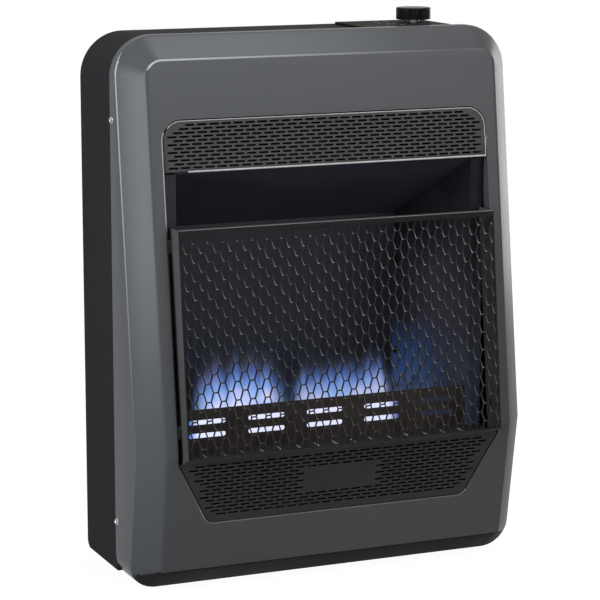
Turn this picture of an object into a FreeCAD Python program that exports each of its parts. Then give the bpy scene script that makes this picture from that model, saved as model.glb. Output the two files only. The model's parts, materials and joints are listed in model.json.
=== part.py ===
import FreeCAD, Part
import math
import os

# Blue-flame ventless gas heater, as separate sheet-metal, gas and control pieces.
# Millimetres, +Z up. X runs to the right of someone facing the heater and the front faces -Y.
# The origin lies on the floor under the middle of the heater's box.

Vec = FreeCAD.Vector
RIGHT = Vec(1, 0, 0)
BACKWARD = Vec(0, 1, 0)
UPWARD = Vec(0, 0, 1)

# Front cover
COVER_WIDTH = 470.0
COVER_TOP = 611.0
COVER_SHEET = 1.0
RIM_TOP = 13.0
RIM_FOLD = 69.5
RIM_BOTTOM = 41.3
FOLD_Z = 162.0
BEVEL_WIDTH = 26.0
BEVEL_END = 24.4
BEVEL_DEPTH = 28.3
COVER_TOP_CORNER = 46.0
COVER_BOTTOM_CORNER = 32.0
FACE_TOP_CORNER = 18.0
FACE_BOTTOM_CORNER = 6.0

# Opening in the cover
OPENING_WIDTH = 390.6
OPENING_TOP = 522.5
OPENING_SLANT_Z = 150.5
OPENING_BOTTOM = 78.5
OPENING_BOTTOM_WIDTH = 314.0
OPENING_TOP_CORNER = 23.0
OPENING_SLANT_CORNER = 12.0
OPENING_BOTTOM_CORNER = 13.0
OPENING_RETURN = 14.0

# Case
CASE_DEPTH = 107.5
CASE_SHEET = 0.8
CASE_SIDE_CLEARANCE = 1.0
CASE_ROOF_CLEARANCE = 2.5
CASE_CORNER = 50.0
CASE_LAP = 10.5
CASE_FLANGE = 12.0
CASE_NOTCH_Z = 38.0
BACK_RECESS = 2.6
BACK_SHEET = 0.8
BASE_Z = 11.0
BASE_SHEET = 1.0
BASE_STRIP = 10.4
BASE_UPSTAND = 15.0
BASE_CORNER = 10.0
FIT = 0.2
FOOT_DIAMETER = 26.0
FOOT_INSET = 34.0

# Guard
GUARD_WIDTH = 379.0
GUARD_DROP = 1.2
GUARD_TOP = 407.0
GUARD_STAND_BOTTOM = 16.5
GUARD_STAND_TOP = 20.7
GUARD_SHEET = 1.2
GUARD_SIDE_REACH = 13.0
GUARD_LIP = 9.0
GUARD_TAB_HEIGHT = 14.0
GUARD_TAB_SET = 3.0
GUARD_TAB_DEPTH = 8.0
GUARD_SCREW_HEIGHTS = (186.5, 387.0)
MESH_COLUMN = 8.58
MESH_PITCH = 20.2
MESH_EDGE = 5.4
MESH_STRAND = 1.4
MESH_LEAST_HOLE = 4.0
MESH_SIDE_MARGIN = 1.2
MESH_TOP_MARGIN = 6.0
MESH_BOTTOM_MARGIN = 1.4

# Grilles
GRILLE_SHEET = 1.0
GRILLE_SET = 0.8
GRILLE_GAP = 1.6
GRILLE_LIP = 10.0
GRILLE_LIP_NOTCH = 27.0
UPPER_GRILLE_BOTTOM = 466.5
UPPER_GRILLE_ROWS = 12
LOWER_GRILLE_ROWS = 15
UPPER_ROW_PITCH = 4.2
LOWER_ROW_PITCH = 4.2
LOWER_ROW_START = 3.8
SLOT_PITCH = 14.1
SLOT_LENGTH = 11.2
SLOT_HEIGHT = 2.2
SLOT_MARGIN = 3.2
BADGE_WIDTH = 84.0
BADGE_TOP = 18.5
BADGE_BOTTOM = 48.0
TAB_LENGTH = 12.0
TAB_DEPTH = 8.0

# Firebox and burner
FIREBOX_SHEET = 1.0
FIREBOX_FRONT = 51.5
FIREBOX_BACK = 78.5
FIREBOX_FRONT_WIDTH = 357.0
FIREBOX_BACK_WIDTH = 286.0
FIREBOX_FLANGE = 15.5
FIREBOX_LAP = 2.0
FIREBOX_EAR = 16.0
FIREBOX_FLOOR_Z = 150.5
HOOD_FRONT_Z = 464.4
HOOD_BACK_Z = 386.0
SUPPORT_WIDTH = 230.0
SUPPORT_FOOT = 14.0
SUPPORT_SHEET = 1.2
SHIELD_FRONT = 46.5
SHIELD_TOP = 199.0
SHIELD_FOOT = 12.0
SHIELD_SLOT_PITCH = 71.0
SHIELD_SLOT_LENGTH = 44.0
SHIELD_SLOT_HEIGHT = 5.5
SHIELD_SLOT_CORNER = 2.7
SHIELD_SLOT_ROWS = (184.4, 169.4)
SHIELD_SLOT_PAIRS = 5
BURNER_FRONT = 18.5
BURNER_Z = 178.0
BURNER_DIAMETER = 28.0
BURNER_WALL = 1.2
BURNER_LEFT = -160.0
BURNER_OVERHANG = 16.5
PORT_COUNT = 26
PORT_PITCH = 10.0
PORT_WIDTH = 1.6
PORT_REACH = 12.0
SADDLE_WIDTH = 10.0
SADDLE_SPAN = 190.0
SHUTTER_LENGTH = 10.0
SHUTTER_WALL = 1.6

# Gas train, set from the right wall of the case
INJECTOR_WALL_GAP = 17.0
INJECTOR_SIZE = 14.0
INJECTOR_NOZZLE = 7.0
INJECTOR_SHEET = 1.5
INJECTOR_PLATE_WIDTH = 34.0
INJECTOR_FOOT = 16.0
MANIFOLD_DIAMETER = 8.0
SUPPLY_DIAMETER = 9.0
PILOT_DIAMETER = 4.0
LEAD_DIAMETER = 2.4
IGNITION_DIAMETER = 3.0
CAPILLARY_DIAMETER = 2.0
TUBE_BEND = 10.0
LEAD_BEND = 8.0
IGNITION_BEND = 5.0
NUT_LENGTH = 8.0
NUT_WALL = 2.5
TUBE_FIT = 0.3
REGULATOR_LENGTH = 38.0
REGULATOR_WIDTH = 40.0
REGULATOR_HEIGHT = 36.0
REGULATOR_Z = 57.0
REGULATOR_SIDE_GAP = 12.0
REGULATOR_CAP_DIAMETER = 30.0
REGULATOR_CAP_HEIGHT = 6.0
INLET_BACK_SET = 45.0
INLET_THREAD = 17.0
INLET_BORE = 10.0
INLET_HEX = 20.0
INLET_HEX_LENGTH = 7.0
INLET_HOLE = 26.0
INLET_FLANGE = 31.0
INLET_FLANGE_SHEET = 1.6
INLET_REACH = 3.9
BULB_DIAMETER = 8.0
BULB_LENGTH = 80.0
BULB_Z = 48.0
BULB_BACK_SET = 36.0
BULB_SIDE_GAP = 6.4
CLIP_WIDTH = 8.0
CLIP_SET = 16.0
CLIP_WALL = 1.6
PILOT_LINE_GAP = 32.0
THERMOCOUPLE_LINE_GAP = 37.0
THERMOCOUPLE_RUN_RISE = 14.0
IGNITION_RUN_RISE = 7.0
IGNITION_DROP = 16.0
IGNITION_INSET = 14.0
CAPILLARY_DROP = 30.0
CAPILLARY_INSET = 12.0
CAPILLARY_BACK_GAP = 12.0

# Control
KNOB_X = 156.0
KNOB_FRONT = 55.5
KNOB_DIAMETER = 40.0
KNOB_HEIGHT = 13.6
KNOB_GAP = 3.6
KNOB_GRIPS = 10
KNOB_GRIP_RADIUS = 2.4
KNOB_GRIP_SET = 1.2
KNOB_GRIP_STOP = 2.4
KNOB_HOLLOW_DIAMETER = 19.0
KNOB_HOLLOW_DEPTH = 6.0
KNOB_CROWN = 3.0
KNOB_EDGE = 1.5
PLATE_LEFT = 84.0
PLATE_RIGHT = 26.0
PLATE_DEPTH = 90.0
PLATE_FRONT_SET = 5.0
PLATE_RAISE = 3.0
PLATE_SHEET = 1.0
PLATE_CORNER = 6.0
PLATE_HOLE = 22.0
VALVE_WIDTH = 50.0
VALVE_DEPTH = 44.0
VALVE_HEIGHT = 46.0
VALVE_DROP = 12.0
VALVE_NECK = 18.0
VALVE_NUT_FLATS = 26.0
VALVE_NUT_HEIGHT = 4.0
MANIFOLD_PORT_FRONT = 14.0
MANIFOLD_PORT_RISE = 12.0
SUPPLY_PORT_RISE = 30.0
PILOT_PORT_FRONT = 2.0
PILOT_PORT_RISE = 9.0
THERMOCOUPLE_PORT_FRONT = 20.0
THERMOCOUPLE_PORT_RISE = 34.0
IGNITION_PORT_FRONT = 10.0
CAPILLARY_PORT_BACK = 10.0
BRACKET_SHEET = 1.2
BRACKET_LEFT = 40.0
BRACKET_RIGHT = 26.0
BRACKET_DEPTH = 62.0
ROTOR_DIAMETER = 12.0
ROTOR_LENGTH = 32.0
STEM_DIAMETER = 7.0
STEM_FLAT = 2.6
STEM_SPARE = 1.0
RUNNING_FIT = 0.05
ROTOR_FLOOR = 1.5
ROTOR_SINK = 0.5
PUSH_TRAVEL = 3.0
SPRING_WALL = 1.0
SPRING_GAP = 0.5

# Pilot
PILOT_X = 126.0
PILOT_BEHIND = 28.0
PILOT_SPACING = 14.0
PILOT_PLATE_WIDTH = 46.0
PILOT_PLATE_DEPTH = 20.0
PILOT_PLATE_Z = 190.0
PILOT_SHEET = 1.2
PILOT_BURNER_DIAMETER = 9.0
PILOT_BURNER_HEIGHT = 9.0
PILOT_BELOW = 14.0
PILOT_FOOT = 11.0
THERMOCOUPLE_DIAMETER = 5.0
THERMOCOUPLE_HEIGHT = 12.0
INSULATOR_DIAMETER = 7.0
INSULATOR_HEIGHT = 6.0
ELECTRODE_DIAMETER = 1.8
ELECTRODE_HEIGHT = 10.0

# Fasteners
SCREW_DIAMETER = 4.0
SCREW_HEAD = 8.0
SCREW_HEAD_HEIGHT = 2.2
SCREW_LENGTH = 9.0
SCREW_HOLE = 4.4
COVER_SCREW_SET = 5.8
COVER_SCREW_HEIGHTS = (70.0, 520.0)
BACK_SCREW_HEIGHTS = (60.0, 310.0, 540.0)
FIREBOX_SCREW_HEIGHTS = (220.0, 330.0)
FIREBOX_SCREW_LENGTH = 7.0
FIREBOX_SCREW_SET = 8.0

# Wall keyholes and vents in the back panel
KEYHOLE_SPACING = 300.0
KEYHOLE_Z = 520.0
KEYHOLE_HEAD = 12.0
KEYHOLE_SLOT = 6.0
KEYHOLE_RISE = 14.0
VENT_COUNT = 12
VENT_PITCH = 22.0
VENT_WIDTH = 6.0
VENT_HEIGHT = 60.0
VENT_Z = 118.0

# Places worked out from the sizes
OVERALL_DEPTH = CASE_DEPTH + RIM_FOLD + BEVEL_DEPTH + GUARD_STAND_BOTTOM
BACK_Y = OVERALL_DEPTH / 2
RIM_Y = BACK_Y - CASE_DEPTH
CREASE_FOLD_Y = RIM_Y - RIM_FOLD
FACE_FOLD_Y = CREASE_FOLD_Y - BEVEL_DEPTH
COVER_HALF = COVER_WIDTH / 2
UPPER_LEAN = math.atan2(RIM_FOLD - RIM_TOP, COVER_TOP - FOLD_Z)
LOWER_LEAN = math.atan2(RIM_FOLD - RIM_BOTTOM, FOLD_Z)
UPPER_RISE = Vec(0, math.sin(UPPER_LEAN), math.cos(UPPER_LEAN))
UPPER_FRONT = Vec(0, -math.cos(UPPER_LEAN), math.sin(UPPER_LEAN))
LOWER_FALL = Vec(0, math.sin(LOWER_LEAN), -math.cos(LOWER_LEAN))
LOWER_FRONT = Vec(0, -math.cos(LOWER_LEAN), -math.sin(LOWER_LEAN))
FACE_FOLD = Vec(0, FACE_FOLD_Y, FOLD_Z)
OPENING_HALF = OPENING_WIDTH / 2
CASE_HALF = COVER_HALF - COVER_SHEET - CASE_SIDE_CLEARANCE
CASE_ROOF = COVER_TOP - COVER_SHEET - CASE_ROOF_CLEARANCE
CASE_FRONT_Y = RIM_Y - CASE_LAP
CASE_INNER = CASE_HALF - CASE_SHEET
SEAM_Z = BASE_Z + BASE_STRIP
BASE_TOP = BASE_Z + BASE_SHEET
BASE_FRONT_Y = RIM_Y + FIT
BASE_BEND_Z = BASE_Z + BASE_CORNER
BACK_OUTER_Y = BACK_Y - BACK_RECESS
BACK_INNER_Y = BACK_OUTER_Y - BACK_SHEET
FLANGE_INNER_Y = BACK_INNER_Y - CASE_SHEET
GUARD_HALF = GUARD_WIDTH / 2
GUARD_BOTTOM = FOLD_Z - GUARD_DROP
FIREBOX_FRONT_Y = RIM_Y - FIREBOX_FRONT
FIREBOX_BACK_Y = RIM_Y + FIREBOX_BACK
SHIELD_Y = RIM_Y - SHIELD_FRONT
FLOOR_TOP = FIREBOX_FLOOR_Z + FIREBOX_SHEET
BURNER_Y = RIM_Y - BURNER_FRONT
BURNER_RADIUS = BURNER_DIAMETER / 2
KNOB_Y = RIM_Y + KNOB_FRONT
PLATE_TOP = CASE_ROOF + PLATE_RAISE
KNOB_Z = PLATE_TOP + KNOB_GAP
ROOF_UNDER = CASE_ROOF - CASE_SHEET
VALVE_TOP = ROOF_UNDER - VALVE_DROP
NECK_TOP = ROOF_UNDER - FIT
VALVE_SIDE_X = KNOB_X + VALVE_WIDTH / 2
PILOT_Y = BURNER_Y + PILOT_BEHIND
PILOT_PLATE_TOP = PILOT_PLATE_Z + PILOT_SHEET
VALVE_BOTTOM = VALVE_TOP - VALVE_HEIGHT
ROTOR_TOP = NECK_TOP - ROTOR_SINK
ROTOR_BOTTOM = ROTOR_TOP - ROTOR_LENGTH
STEM_BOTTOM = ROTOR_BOTTOM + ROTOR_FLOOR + PUSH_TRAVEL + STEM_SPARE
STEM_TOP = KNOB_Z + KNOB_HEIGHT - KNOB_CROWN
INJECTOR_X = CASE_INNER - INJECTOR_WALL_GAP - INJECTOR_SIZE
MANIFOLD_X = INJECTOR_X + INJECTOR_SIZE / 2
REGULATOR_RIGHT = CASE_INNER - REGULATOR_SIDE_GAP
REGULATOR_X = REGULATOR_RIGHT - REGULATOR_LENGTH / 2
REGULATOR_TOP = REGULATOR_Z + REGULATOR_HEIGHT
INLET_Y = BACK_Y - INLET_BACK_SET
INLET_Z = REGULATOR_Z + REGULATOR_HEIGHT / 2
BULB_X = CASE_INNER - BULB_SIDE_GAP
BULB_BACK_Y = BACK_Y - BULB_BACK_SET
CAPILLARY_Y = FLANGE_INNER_Y - CAPILLARY_BACK_GAP
PILOT_LINE_X = CASE_INNER - PILOT_LINE_GAP
THERMOCOUPLE_LINE_X = CASE_INNER - THERMOCOUPLE_LINE_GAP
IGNITION_LINE_X = VALVE_SIDE_X + IGNITION_DIAMETER
MANIFOLD_PORT = Vec(VALVE_SIDE_X, KNOB_Y - MANIFOLD_PORT_FRONT, VALVE_BOTTOM + MANIFOLD_PORT_RISE)
SUPPLY_PORT = Vec(VALVE_SIDE_X, INLET_Y, VALVE_BOTTOM + SUPPLY_PORT_RISE)
PILOT_PORT = Vec(VALVE_SIDE_X, KNOB_Y - PILOT_PORT_FRONT, VALVE_BOTTOM + PILOT_PORT_RISE)
THERMOCOUPLE_PORT = Vec(VALVE_SIDE_X, KNOB_Y - THERMOCOUPLE_PORT_FRONT, VALVE_BOTTOM + THERMOCOUPLE_PORT_RISE)
IGNITION_PORT = Vec(VALVE_SIDE_X - IGNITION_INSET, KNOB_Y - IGNITION_PORT_FRONT, VALVE_BOTTOM)
CAPILLARY_PORT = Vec(KNOB_X - CAPILLARY_INSET, KNOB_Y + CAPILLARY_PORT_BACK, VALVE_BOTTOM)
FAR = 1000.0


# Shared shapes
def box(x0, x1, y0, y1, z0, z1):
    return Part.makeBox(x1 - x0, y1 - y0, z1 - z0, Vec(x0, y0, z0))


def rod(start, end, diameter):
    along = end.sub(start)
    return Part.makeCylinder(diameter / 2, along.Length, start, along)


def hex_rod(start, end, flats):
    along = end.sub(start)
    side = RIGHT if abs(along.normalize().x) < 0.9 else BACKWARD
    first = along.cross(side).normalize() * (flats / math.sqrt(3))
    corners = []
    for index in range(6):
        turned = FreeCAD.Rotation(along, 60.0 * index).multVec(first)
        corners.append(start + turned)
    face = Part.Face(Part.makePolygon(corners + corners[:1]))
    return face.extrude(end.sub(start))


def outline(corners, place):
    """Closed wire through (u, v, radius) corners, each rounded by its radius."""
    points = [place(u, v) for u, v, radius in corners]
    arcs = []
    for index, (u, v, radius) in enumerate(corners):
        here = points[index]
        before = points[index - 1].sub(here).normalize()
        after = points[(index + 1) % len(points)].sub(here).normalize()
        half = before.getAngle(after) / 2
        reach = radius / math.tan(half)
        middle = (before + after).normalize() * (radius / math.sin(half) - radius)
        arcs.append((here + before * reach, here + middle, here + after * reach, radius))
    edges = []
    for index, (start, middle, end, radius) in enumerate(arcs):
        if radius > 0:
            edges.append(Part.Arc(start, middle, end).toShape())
        edges.append(Part.LineSegment(end, arcs[(index + 1) % len(arcs)][0]).toShape())
    return Part.Wire(edges)


def upright(y):
    return lambda x, z: Vec(x, y, z)


def level(z):
    return lambda x, y: Vec(x, y, z)


def sheet_across(points, x0, x1):
    """Solid with a (y, z) outline, from x0 to x1."""
    corners = [Vec(x0, y, z) for y, z in points]
    return Part.Face(Part.makePolygon(corners + corners[:1])).extrude(RIGHT * (x1 - x0))


def column(points, z0, z1):
    """Solid with an (x, y) outline, from z0 to z1."""
    corners = [Vec(x, y, z0) for x, y in points]
    return Part.Face(Part.makePolygon(corners + corners[:1])).extrude(UPWARD * (z1 - z0))


def joined(shapes):
    return shapes[0].multiFuse(shapes[1:]).removeSplitter() if len(shapes) > 1 else shapes[0]


def group(shapes):
    return Part.makeCompound(shapes)


def mirrored(shape):
    return shape.mirror(Vec(0, 0, 0), RIGHT)


def bent_tube(points, diameter, bend):
    """Solid tube along straight runs joined by tangent bends."""
    edges = []
    last = points[0]
    for before, here, after in zip(points, points[1:], points[2:]):
        inward = before.sub(here).normalize()
        outward = after.sub(here).normalize()
        half = inward.getAngle(outward) / 2
        reach = bend / math.tan(half)
        middle = (inward + outward).normalize() * (bend / math.sin(half) - bend)
        edges.append(Part.LineSegment(last, here + inward * reach).toShape())
        edges.append(Part.Arc(here + inward * reach, here + middle, here + outward * reach).toShape())
        last = here + outward * reach
    edges.append(Part.LineSegment(last, points[-1]).toShape())
    path = Part.Wire(edges)
    start = points[1].sub(points[0])
    profile = Part.Wire([Part.makeCircle(diameter / 2, points[0], start)])
    return path.makePipeShell([profile], True, False)


def face_y(z):
    """Front of the cover's folded face at height z."""
    lean = math.tan(UPPER_LEAN) if z > FOLD_Z else math.tan(LOWER_LEAN)
    return FACE_FOLD_Y + abs(z - FOLD_Z) * lean


def face_slab(start, end):
    """Folded slab that lies from start to end behind the cover's face."""
    heights = (COVER_TOP, FOLD_Z, 0.0)
    front = [(face_y(z) + start, z) for z in heights]
    back = [(face_y(z) + end, z) for z in reversed(heights)]
    return sheet_across(front + back, -COVER_HALF, COVER_HALF)


# Front cover
def cover_half(inset, back_y, rise, end_z, rim_corner, face_corner):
    """Upper or lower half of the cover's solid form, inset from its outside."""
    side = math.hypot(BEVEL_WIDTH, BEVEL_DEPTH)
    end = math.hypot(BEVEL_END, BEVEL_DEPTH)
    sign = 1 if rise.z > 0 else -1
    crease = Vec(0, CREASE_FOLD_Y + inset * (side - BEVEL_DEPTH) / BEVEL_WIDTH, FOLD_Z)
    face = Vec(0, FACE_FOLD_Y + inset, FOLD_Z)
    rim_half = COVER_HALF - inset
    face_half = COVER_HALF - BEVEL_WIDTH - inset * (side - BEVEL_WIDTH) / BEVEL_DEPTH
    rim_length = (abs(end_z - FOLD_Z) - inset) / abs(rise.z)
    face_length = (abs(end_z - FOLD_Z) - BEVEL_END - inset * (end - BEVEL_END) / BEVEL_DEPTH) / abs(rise.z)
    overlap = -BEVEL_DEPTH
    loops = []
    for origin, half, length, corner in ((crease, rim_half, rim_length, rim_corner - inset),
                                         (face, face_half, face_length, face_corner)):
        corners = [(-half, overlap, 0), (-half, length, corner), (half, length, corner), (half, overlap, 0)]
        loops.append(outline(corners, lambda u, v: origin + RIGHT * u + rise * v))
    rim = Part.Face(loops[0]).extrude(BACKWARD * FAR)
    bevel = Part.makeLoft(loops, True, True)
    z0, z1 = sorted((FOLD_Z, FOLD_Z + sign * FAR))
    return rim.fuse(bevel).common(box(-FAR, FAR, -FAR, back_y, z0, z1))


def cover_form(inset, back_y):
    upper = cover_half(inset, back_y, UPPER_RISE, COVER_TOP, COVER_TOP_CORNER, FACE_TOP_CORNER)
    lower = cover_half(inset, back_y, LOWER_FALL, 0.0, COVER_BOTTOM_CORNER, FACE_BOTTOM_CORNER)
    return upper.fuse(lower).removeSplitter()


def opening_wire():
    low = OPENING_BOTTOM_WIDTH / 2
    half = OPENING_HALF
    corners = [(-half, OPENING_SLANT_Z, OPENING_SLANT_CORNER), (-half, OPENING_TOP, OPENING_TOP_CORNER),
               (half, OPENING_TOP, OPENING_TOP_CORNER), (half, OPENING_SLANT_Z, OPENING_SLANT_CORNER),
               (low, OPENING_BOTTOM, OPENING_BOTTOM_CORNER), (-low, OPENING_BOTTOM, OPENING_BOTTOM_CORNER)]
    return outline(corners, upright(-FAR))


def through_cover(wire):
    return Part.Face(wire).extrude(BACKWARD * 2 * FAR)


def screw_spots_cover():
    return [Vec(0, RIM_Y - COVER_SCREW_SET, z) for z in COVER_SCREW_HEIGHTS]


def screw_spots_guard():
    return [Vec(0, face_y(z) + GUARD_TAB_SET + GUARD_TAB_DEPTH / 2, z) for z in GUARD_SCREW_HEIGHTS]


def cross_holes(spots, reach):
    """Screw holes along X through both sides, as far out as reach."""
    return group([rod(spot - RIGHT * reach, spot + RIGHT * reach, SCREW_HOLE) for spot in spots])


def front_cover():
    shell = cover_form(0.0, RIM_Y).cut(cover_form(COVER_SHEET, RIM_Y + FAR))
    wire = opening_wire()
    hole = through_cover(wire)
    collar = through_cover(wire.makeOffset2D(COVER_SHEET)).cut(hole).common(face_slab(0.0, OPENING_RETURN))
    shell = shell.cut(hole).fuse(collar).removeSplitter()
    outer_holes = cross_holes(screw_spots_cover(), FAR)
    inner_holes = cross_holes(screw_spots_guard(), OPENING_HALF + COVER_SHEET + FIT)
    return shell.cut(group([outer_holes, inner_holes]))


# Case
def case_prism(inset, y0, y1, z0):
    half = CASE_HALF - inset
    roof = CASE_ROOF - inset
    corner = CASE_CORNER - inset
    corners = [(-half, z0, 0), (-half, roof, corner), (half, roof, corner), (half, z0, 0)]
    return Part.Face(outline(corners, upright(y0))).extrude(BACKWARD * (y1 - y0))


def casing_wrap():
    wrap = case_prism(0.0, CASE_FRONT_Y, BACK_Y, SEAM_Z).cut(case_prism(CASE_SHEET, -FAR, FAR, -FAR))
    flange = case_prism(0.0, FLANGE_INNER_Y, BACK_INNER_Y, SEAM_Z + BASE_UPSTAND)
    flange = flange.cut(case_prism(CASE_FLANGE, -FAR, FAR, -FAR))
    wrap = wrap.fuse(flange).removeSplitter()
    notch = box(-FAR, FAR, -FAR, BASE_FRONT_Y, 0, CASE_NOTCH_Z)
    neck = rod(axis_point(NECK_TOP), axis_point(FAR), PLATE_HOLE)
    inlet = rod(Vec(0, INLET_Y, INLET_Z), Vec(FAR, INLET_Y, INLET_Z), INLET_HOLE)
    return wrap.cut(group([notch, neck, inlet, cross_holes(screw_spots_cover(), FAR), back_screw_holes()]))


def back_screw_spots():
    reach = CASE_INNER - CASE_FLANGE / 2
    return [Vec(side * reach, BACK_OUTER_Y, z) for side in (-1, 1) for z in BACK_SCREW_HEIGHTS]


def back_screw_holes():
    way = BACKWARD * SCREW_LENGTH
    return group([rod(spot - way, spot + BACKWARD, SCREW_HOLE) for spot in back_screw_spots()])


def keyhole(x):
    head = rod(Vec(x, 0, KEYHOLE_Z), Vec(x, FAR, KEYHOLE_Z), KEYHOLE_HEAD)
    end = rod(Vec(x, 0, KEYHOLE_Z + KEYHOLE_RISE), Vec(x, FAR, KEYHOLE_Z + KEYHOLE_RISE), KEYHOLE_SLOT)
    slot = box(x - KEYHOLE_SLOT / 2, x + KEYHOLE_SLOT / 2, 0, FAR, KEYHOLE_Z, KEYHOLE_Z + KEYHOLE_RISE)
    return joined([head, end, slot])


def back_panel():
    panel = case_prism(CASE_SHEET + FIT, BACK_INNER_Y, BACK_OUTER_Y, BASE_BEND_Z)
    cuts = [keyhole(side * KEYHOLE_SPACING / 2) for side in (-1, 1)]
    for index in range(VENT_COUNT):
        x = (index - (VENT_COUNT - 1) / 2) * VENT_PITCH
        cuts.append(box(x - VENT_WIDTH / 2, x + VENT_WIDTH / 2, 0, FAR, VENT_Z, VENT_Z + VENT_HEIGHT))
    return panel.cut(group(cuts + [back_screw_holes()]))


def base_bend(half, y, radius):
    """Rod along X whose lower rear quarter is the base's rounded rear edge."""
    return rod(Vec(-half, y, BASE_BEND_Z), Vec(half, y, BASE_BEND_Z), 2 * radius)


def base_pan():
    inner = CASE_INNER - FIT
    bend_y = BACK_INNER_Y - BASE_CORNER
    upstand_z = SEAM_Z + BASE_UPSTAND
    floor = box(-CASE_HALF, CASE_HALF, BASE_FRONT_Y, bend_y, BASE_Z, BASE_TOP)
    bend = base_bend(inner, bend_y, BASE_CORNER).cut(base_bend(FAR, bend_y, BASE_CORNER - BASE_SHEET))
    bend = bend.common(box(-FAR, FAR, bend_y, FAR, 0, BASE_BEND_Z))
    back = box(-inner, inner, BACK_INNER_Y - BASE_SHEET, BACK_INNER_Y, BASE_BEND_Z, upstand_z - FIT)
    front = box(-inner, inner, BASE_FRONT_Y, BASE_FRONT_Y + BASE_SHEET, BASE_Z, SEAM_Z)
    strip = box(inner - BASE_SHEET, CASE_HALF, BASE_FRONT_Y, FLANGE_INNER_Y, BASE_Z, SEAM_Z)
    tail = box(CASE_INNER, CASE_HALF, FLANGE_INNER_Y, BACK_Y, BASE_Z, SEAM_Z)
    upstand = box(inner - BASE_SHEET, inner, BASE_FRONT_Y, FLANGE_INNER_Y - FIT, SEAM_Z, upstand_z)
    heel_y = BACK_Y - BASE_CORNER
    heel = box(-FAR, FAR, heel_y, FAR, 0, BASE_BEND_Z).cut(base_bend(FAR, heel_y, BASE_CORNER))
    sides = [strip.cut(heel), tail.cut(heel), upstand]
    return joined([floor, bend, back, front] + sides + [mirrored(piece) for piece in sides])


def rear_feet():
    y = BACK_Y - FOOT_INSET
    spots = [Vec(side * (CASE_HALF - FOOT_INSET), y, 0) for side in (-1, 1)]
    return group([rod(spot, spot + UPWARD * BASE_Z, FOOT_DIAMETER) for spot in spots])


# Screws
def screw(spot, inward, length=SCREW_LENGTH):
    """Pan-head screw whose head sits on spot and whose shank runs inward."""
    head = rod(spot, spot - inward * SCREW_HEAD_HEIGHT, SCREW_HEAD)
    shank = rod(spot, spot + inward * length, SCREW_DIAMETER)
    return head.fuse(shank)


def cover_screws():
    screws = []
    for spot in screw_spots_cover():
        screws.append(screw(spot + RIGHT * COVER_HALF, RIGHT * -1))
        screws.append(screw(spot - RIGHT * COVER_HALF, RIGHT))
    return group(screws)


def guard_screws():
    inner = GUARD_HALF - GUARD_SHEET
    screws = []
    for spot in screw_spots_guard():
        screws.append(screw(spot + RIGHT * inner, RIGHT))
        screws.append(screw(spot - RIGHT * inner, RIGHT * -1))
    return group(screws)


def back_screws():
    return group([screw(spot, BACKWARD * -1) for spot in back_screw_spots()])


# Grilles
def slot_wires(rows, first_v, row_pitch, half_at, place, blocked):
    """Rows of slots, each row shifted by half a pitch from the one before."""
    wires = []
    for row in range(rows):
        v = first_v + row * row_pitch
        reach = min(half_at(v - SLOT_HEIGHT / 2), half_at(v + SLOT_HEIGHT / 2)) - SLOT_MARGIN
        shift = SLOT_PITCH / 2 if row % 2 else 0.0
        count = int(reach / SLOT_PITCH) + 1
        for index in range(-count, count + 1):
            u = index * SLOT_PITCH + shift
            if abs(u) + SLOT_LENGTH / 2 > reach or blocked(u, v):
                continue
            corners = [(u - SLOT_LENGTH / 2, v - SLOT_HEIGHT / 2), (u + SLOT_LENGTH / 2, v - SLOT_HEIGHT / 2),
                       (u + SLOT_LENGTH / 2, v + SLOT_HEIGHT / 2), (u - SLOT_LENGTH / 2, v + SLOT_HEIGHT / 2)]
            points = [place(*corner) for corner in corners]
            wires.append(Part.makePolygon(points + points[:1]))
    return wires


def holed_sheet(outer, holes, direction):
    face = Part.makeFace([outer] + holes, "Part::FaceMakerCheese")
    return face.extrude(direction)


def side_tab(z, y_start):
    """Small spacer that fills the gap between a grille and the opening's return."""
    return box(OPENING_HALF - GRILLE_GAP - GRILLE_SHEET, OPENING_HALF - FIT, y_start, y_start + TAB_DEPTH,
               z - TAB_LENGTH / 2, z + TAB_LENGTH / 2)


def upper_grille():
    half = OPENING_HALF - GRILLE_GAP
    slope = math.cos(UPPER_LEAN)
    bottom = (UPPER_GRILLE_BOTTOM - FOLD_Z) / slope
    top = (OPENING_TOP - GRILLE_GAP - FOLD_Z) / slope
    corner = OPENING_TOP_CORNER - GRILLE_GAP
    origin = FACE_FOLD - UPPER_FRONT * GRILLE_SET

    def place(u, v):
        return origin + RIGHT * u + UPPER_RISE * v

    def half_at(v):
        over = v - (top - corner)
        return half if over <= 0 else half - corner + math.sqrt(max(corner ** 2 - over ** 2, 0.0))

    outer = outline([(-half, bottom, 0), (-half, top, corner), (half, top, corner), (half, bottom, 0)], place)
    first = (bottom + top - (UPPER_GRILLE_ROWS - 1) * UPPER_ROW_PITCH) / 2
    slots = slot_wires(UPPER_GRILLE_ROWS, first, UPPER_ROW_PITCH, half_at, place, lambda u, v: False)
    plate = holed_sheet(outer, slots, UPPER_FRONT * -GRILLE_SHEET)
    lip_left = GRILLE_LIP_NOTCH - half
    edge = [place(lip_left, bottom), place(half, bottom), place(half, bottom + GRILLE_SHEET),
            place(lip_left, bottom + GRILLE_SHEET)]
    lip = Part.Face(Part.makePolygon(edge + edge[:1])).extrude(UPPER_FRONT * -GRILLE_LIP)
    middle = (UPPER_GRILLE_BOTTOM + OPENING_TOP - OPENING_TOP_CORNER) / 2
    tab = side_tab(middle, face_y(middle) + GRILLE_SET + GRILLE_SHEET / 2)
    return joined([plate, lip, tab, mirrored(tab)])


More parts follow.
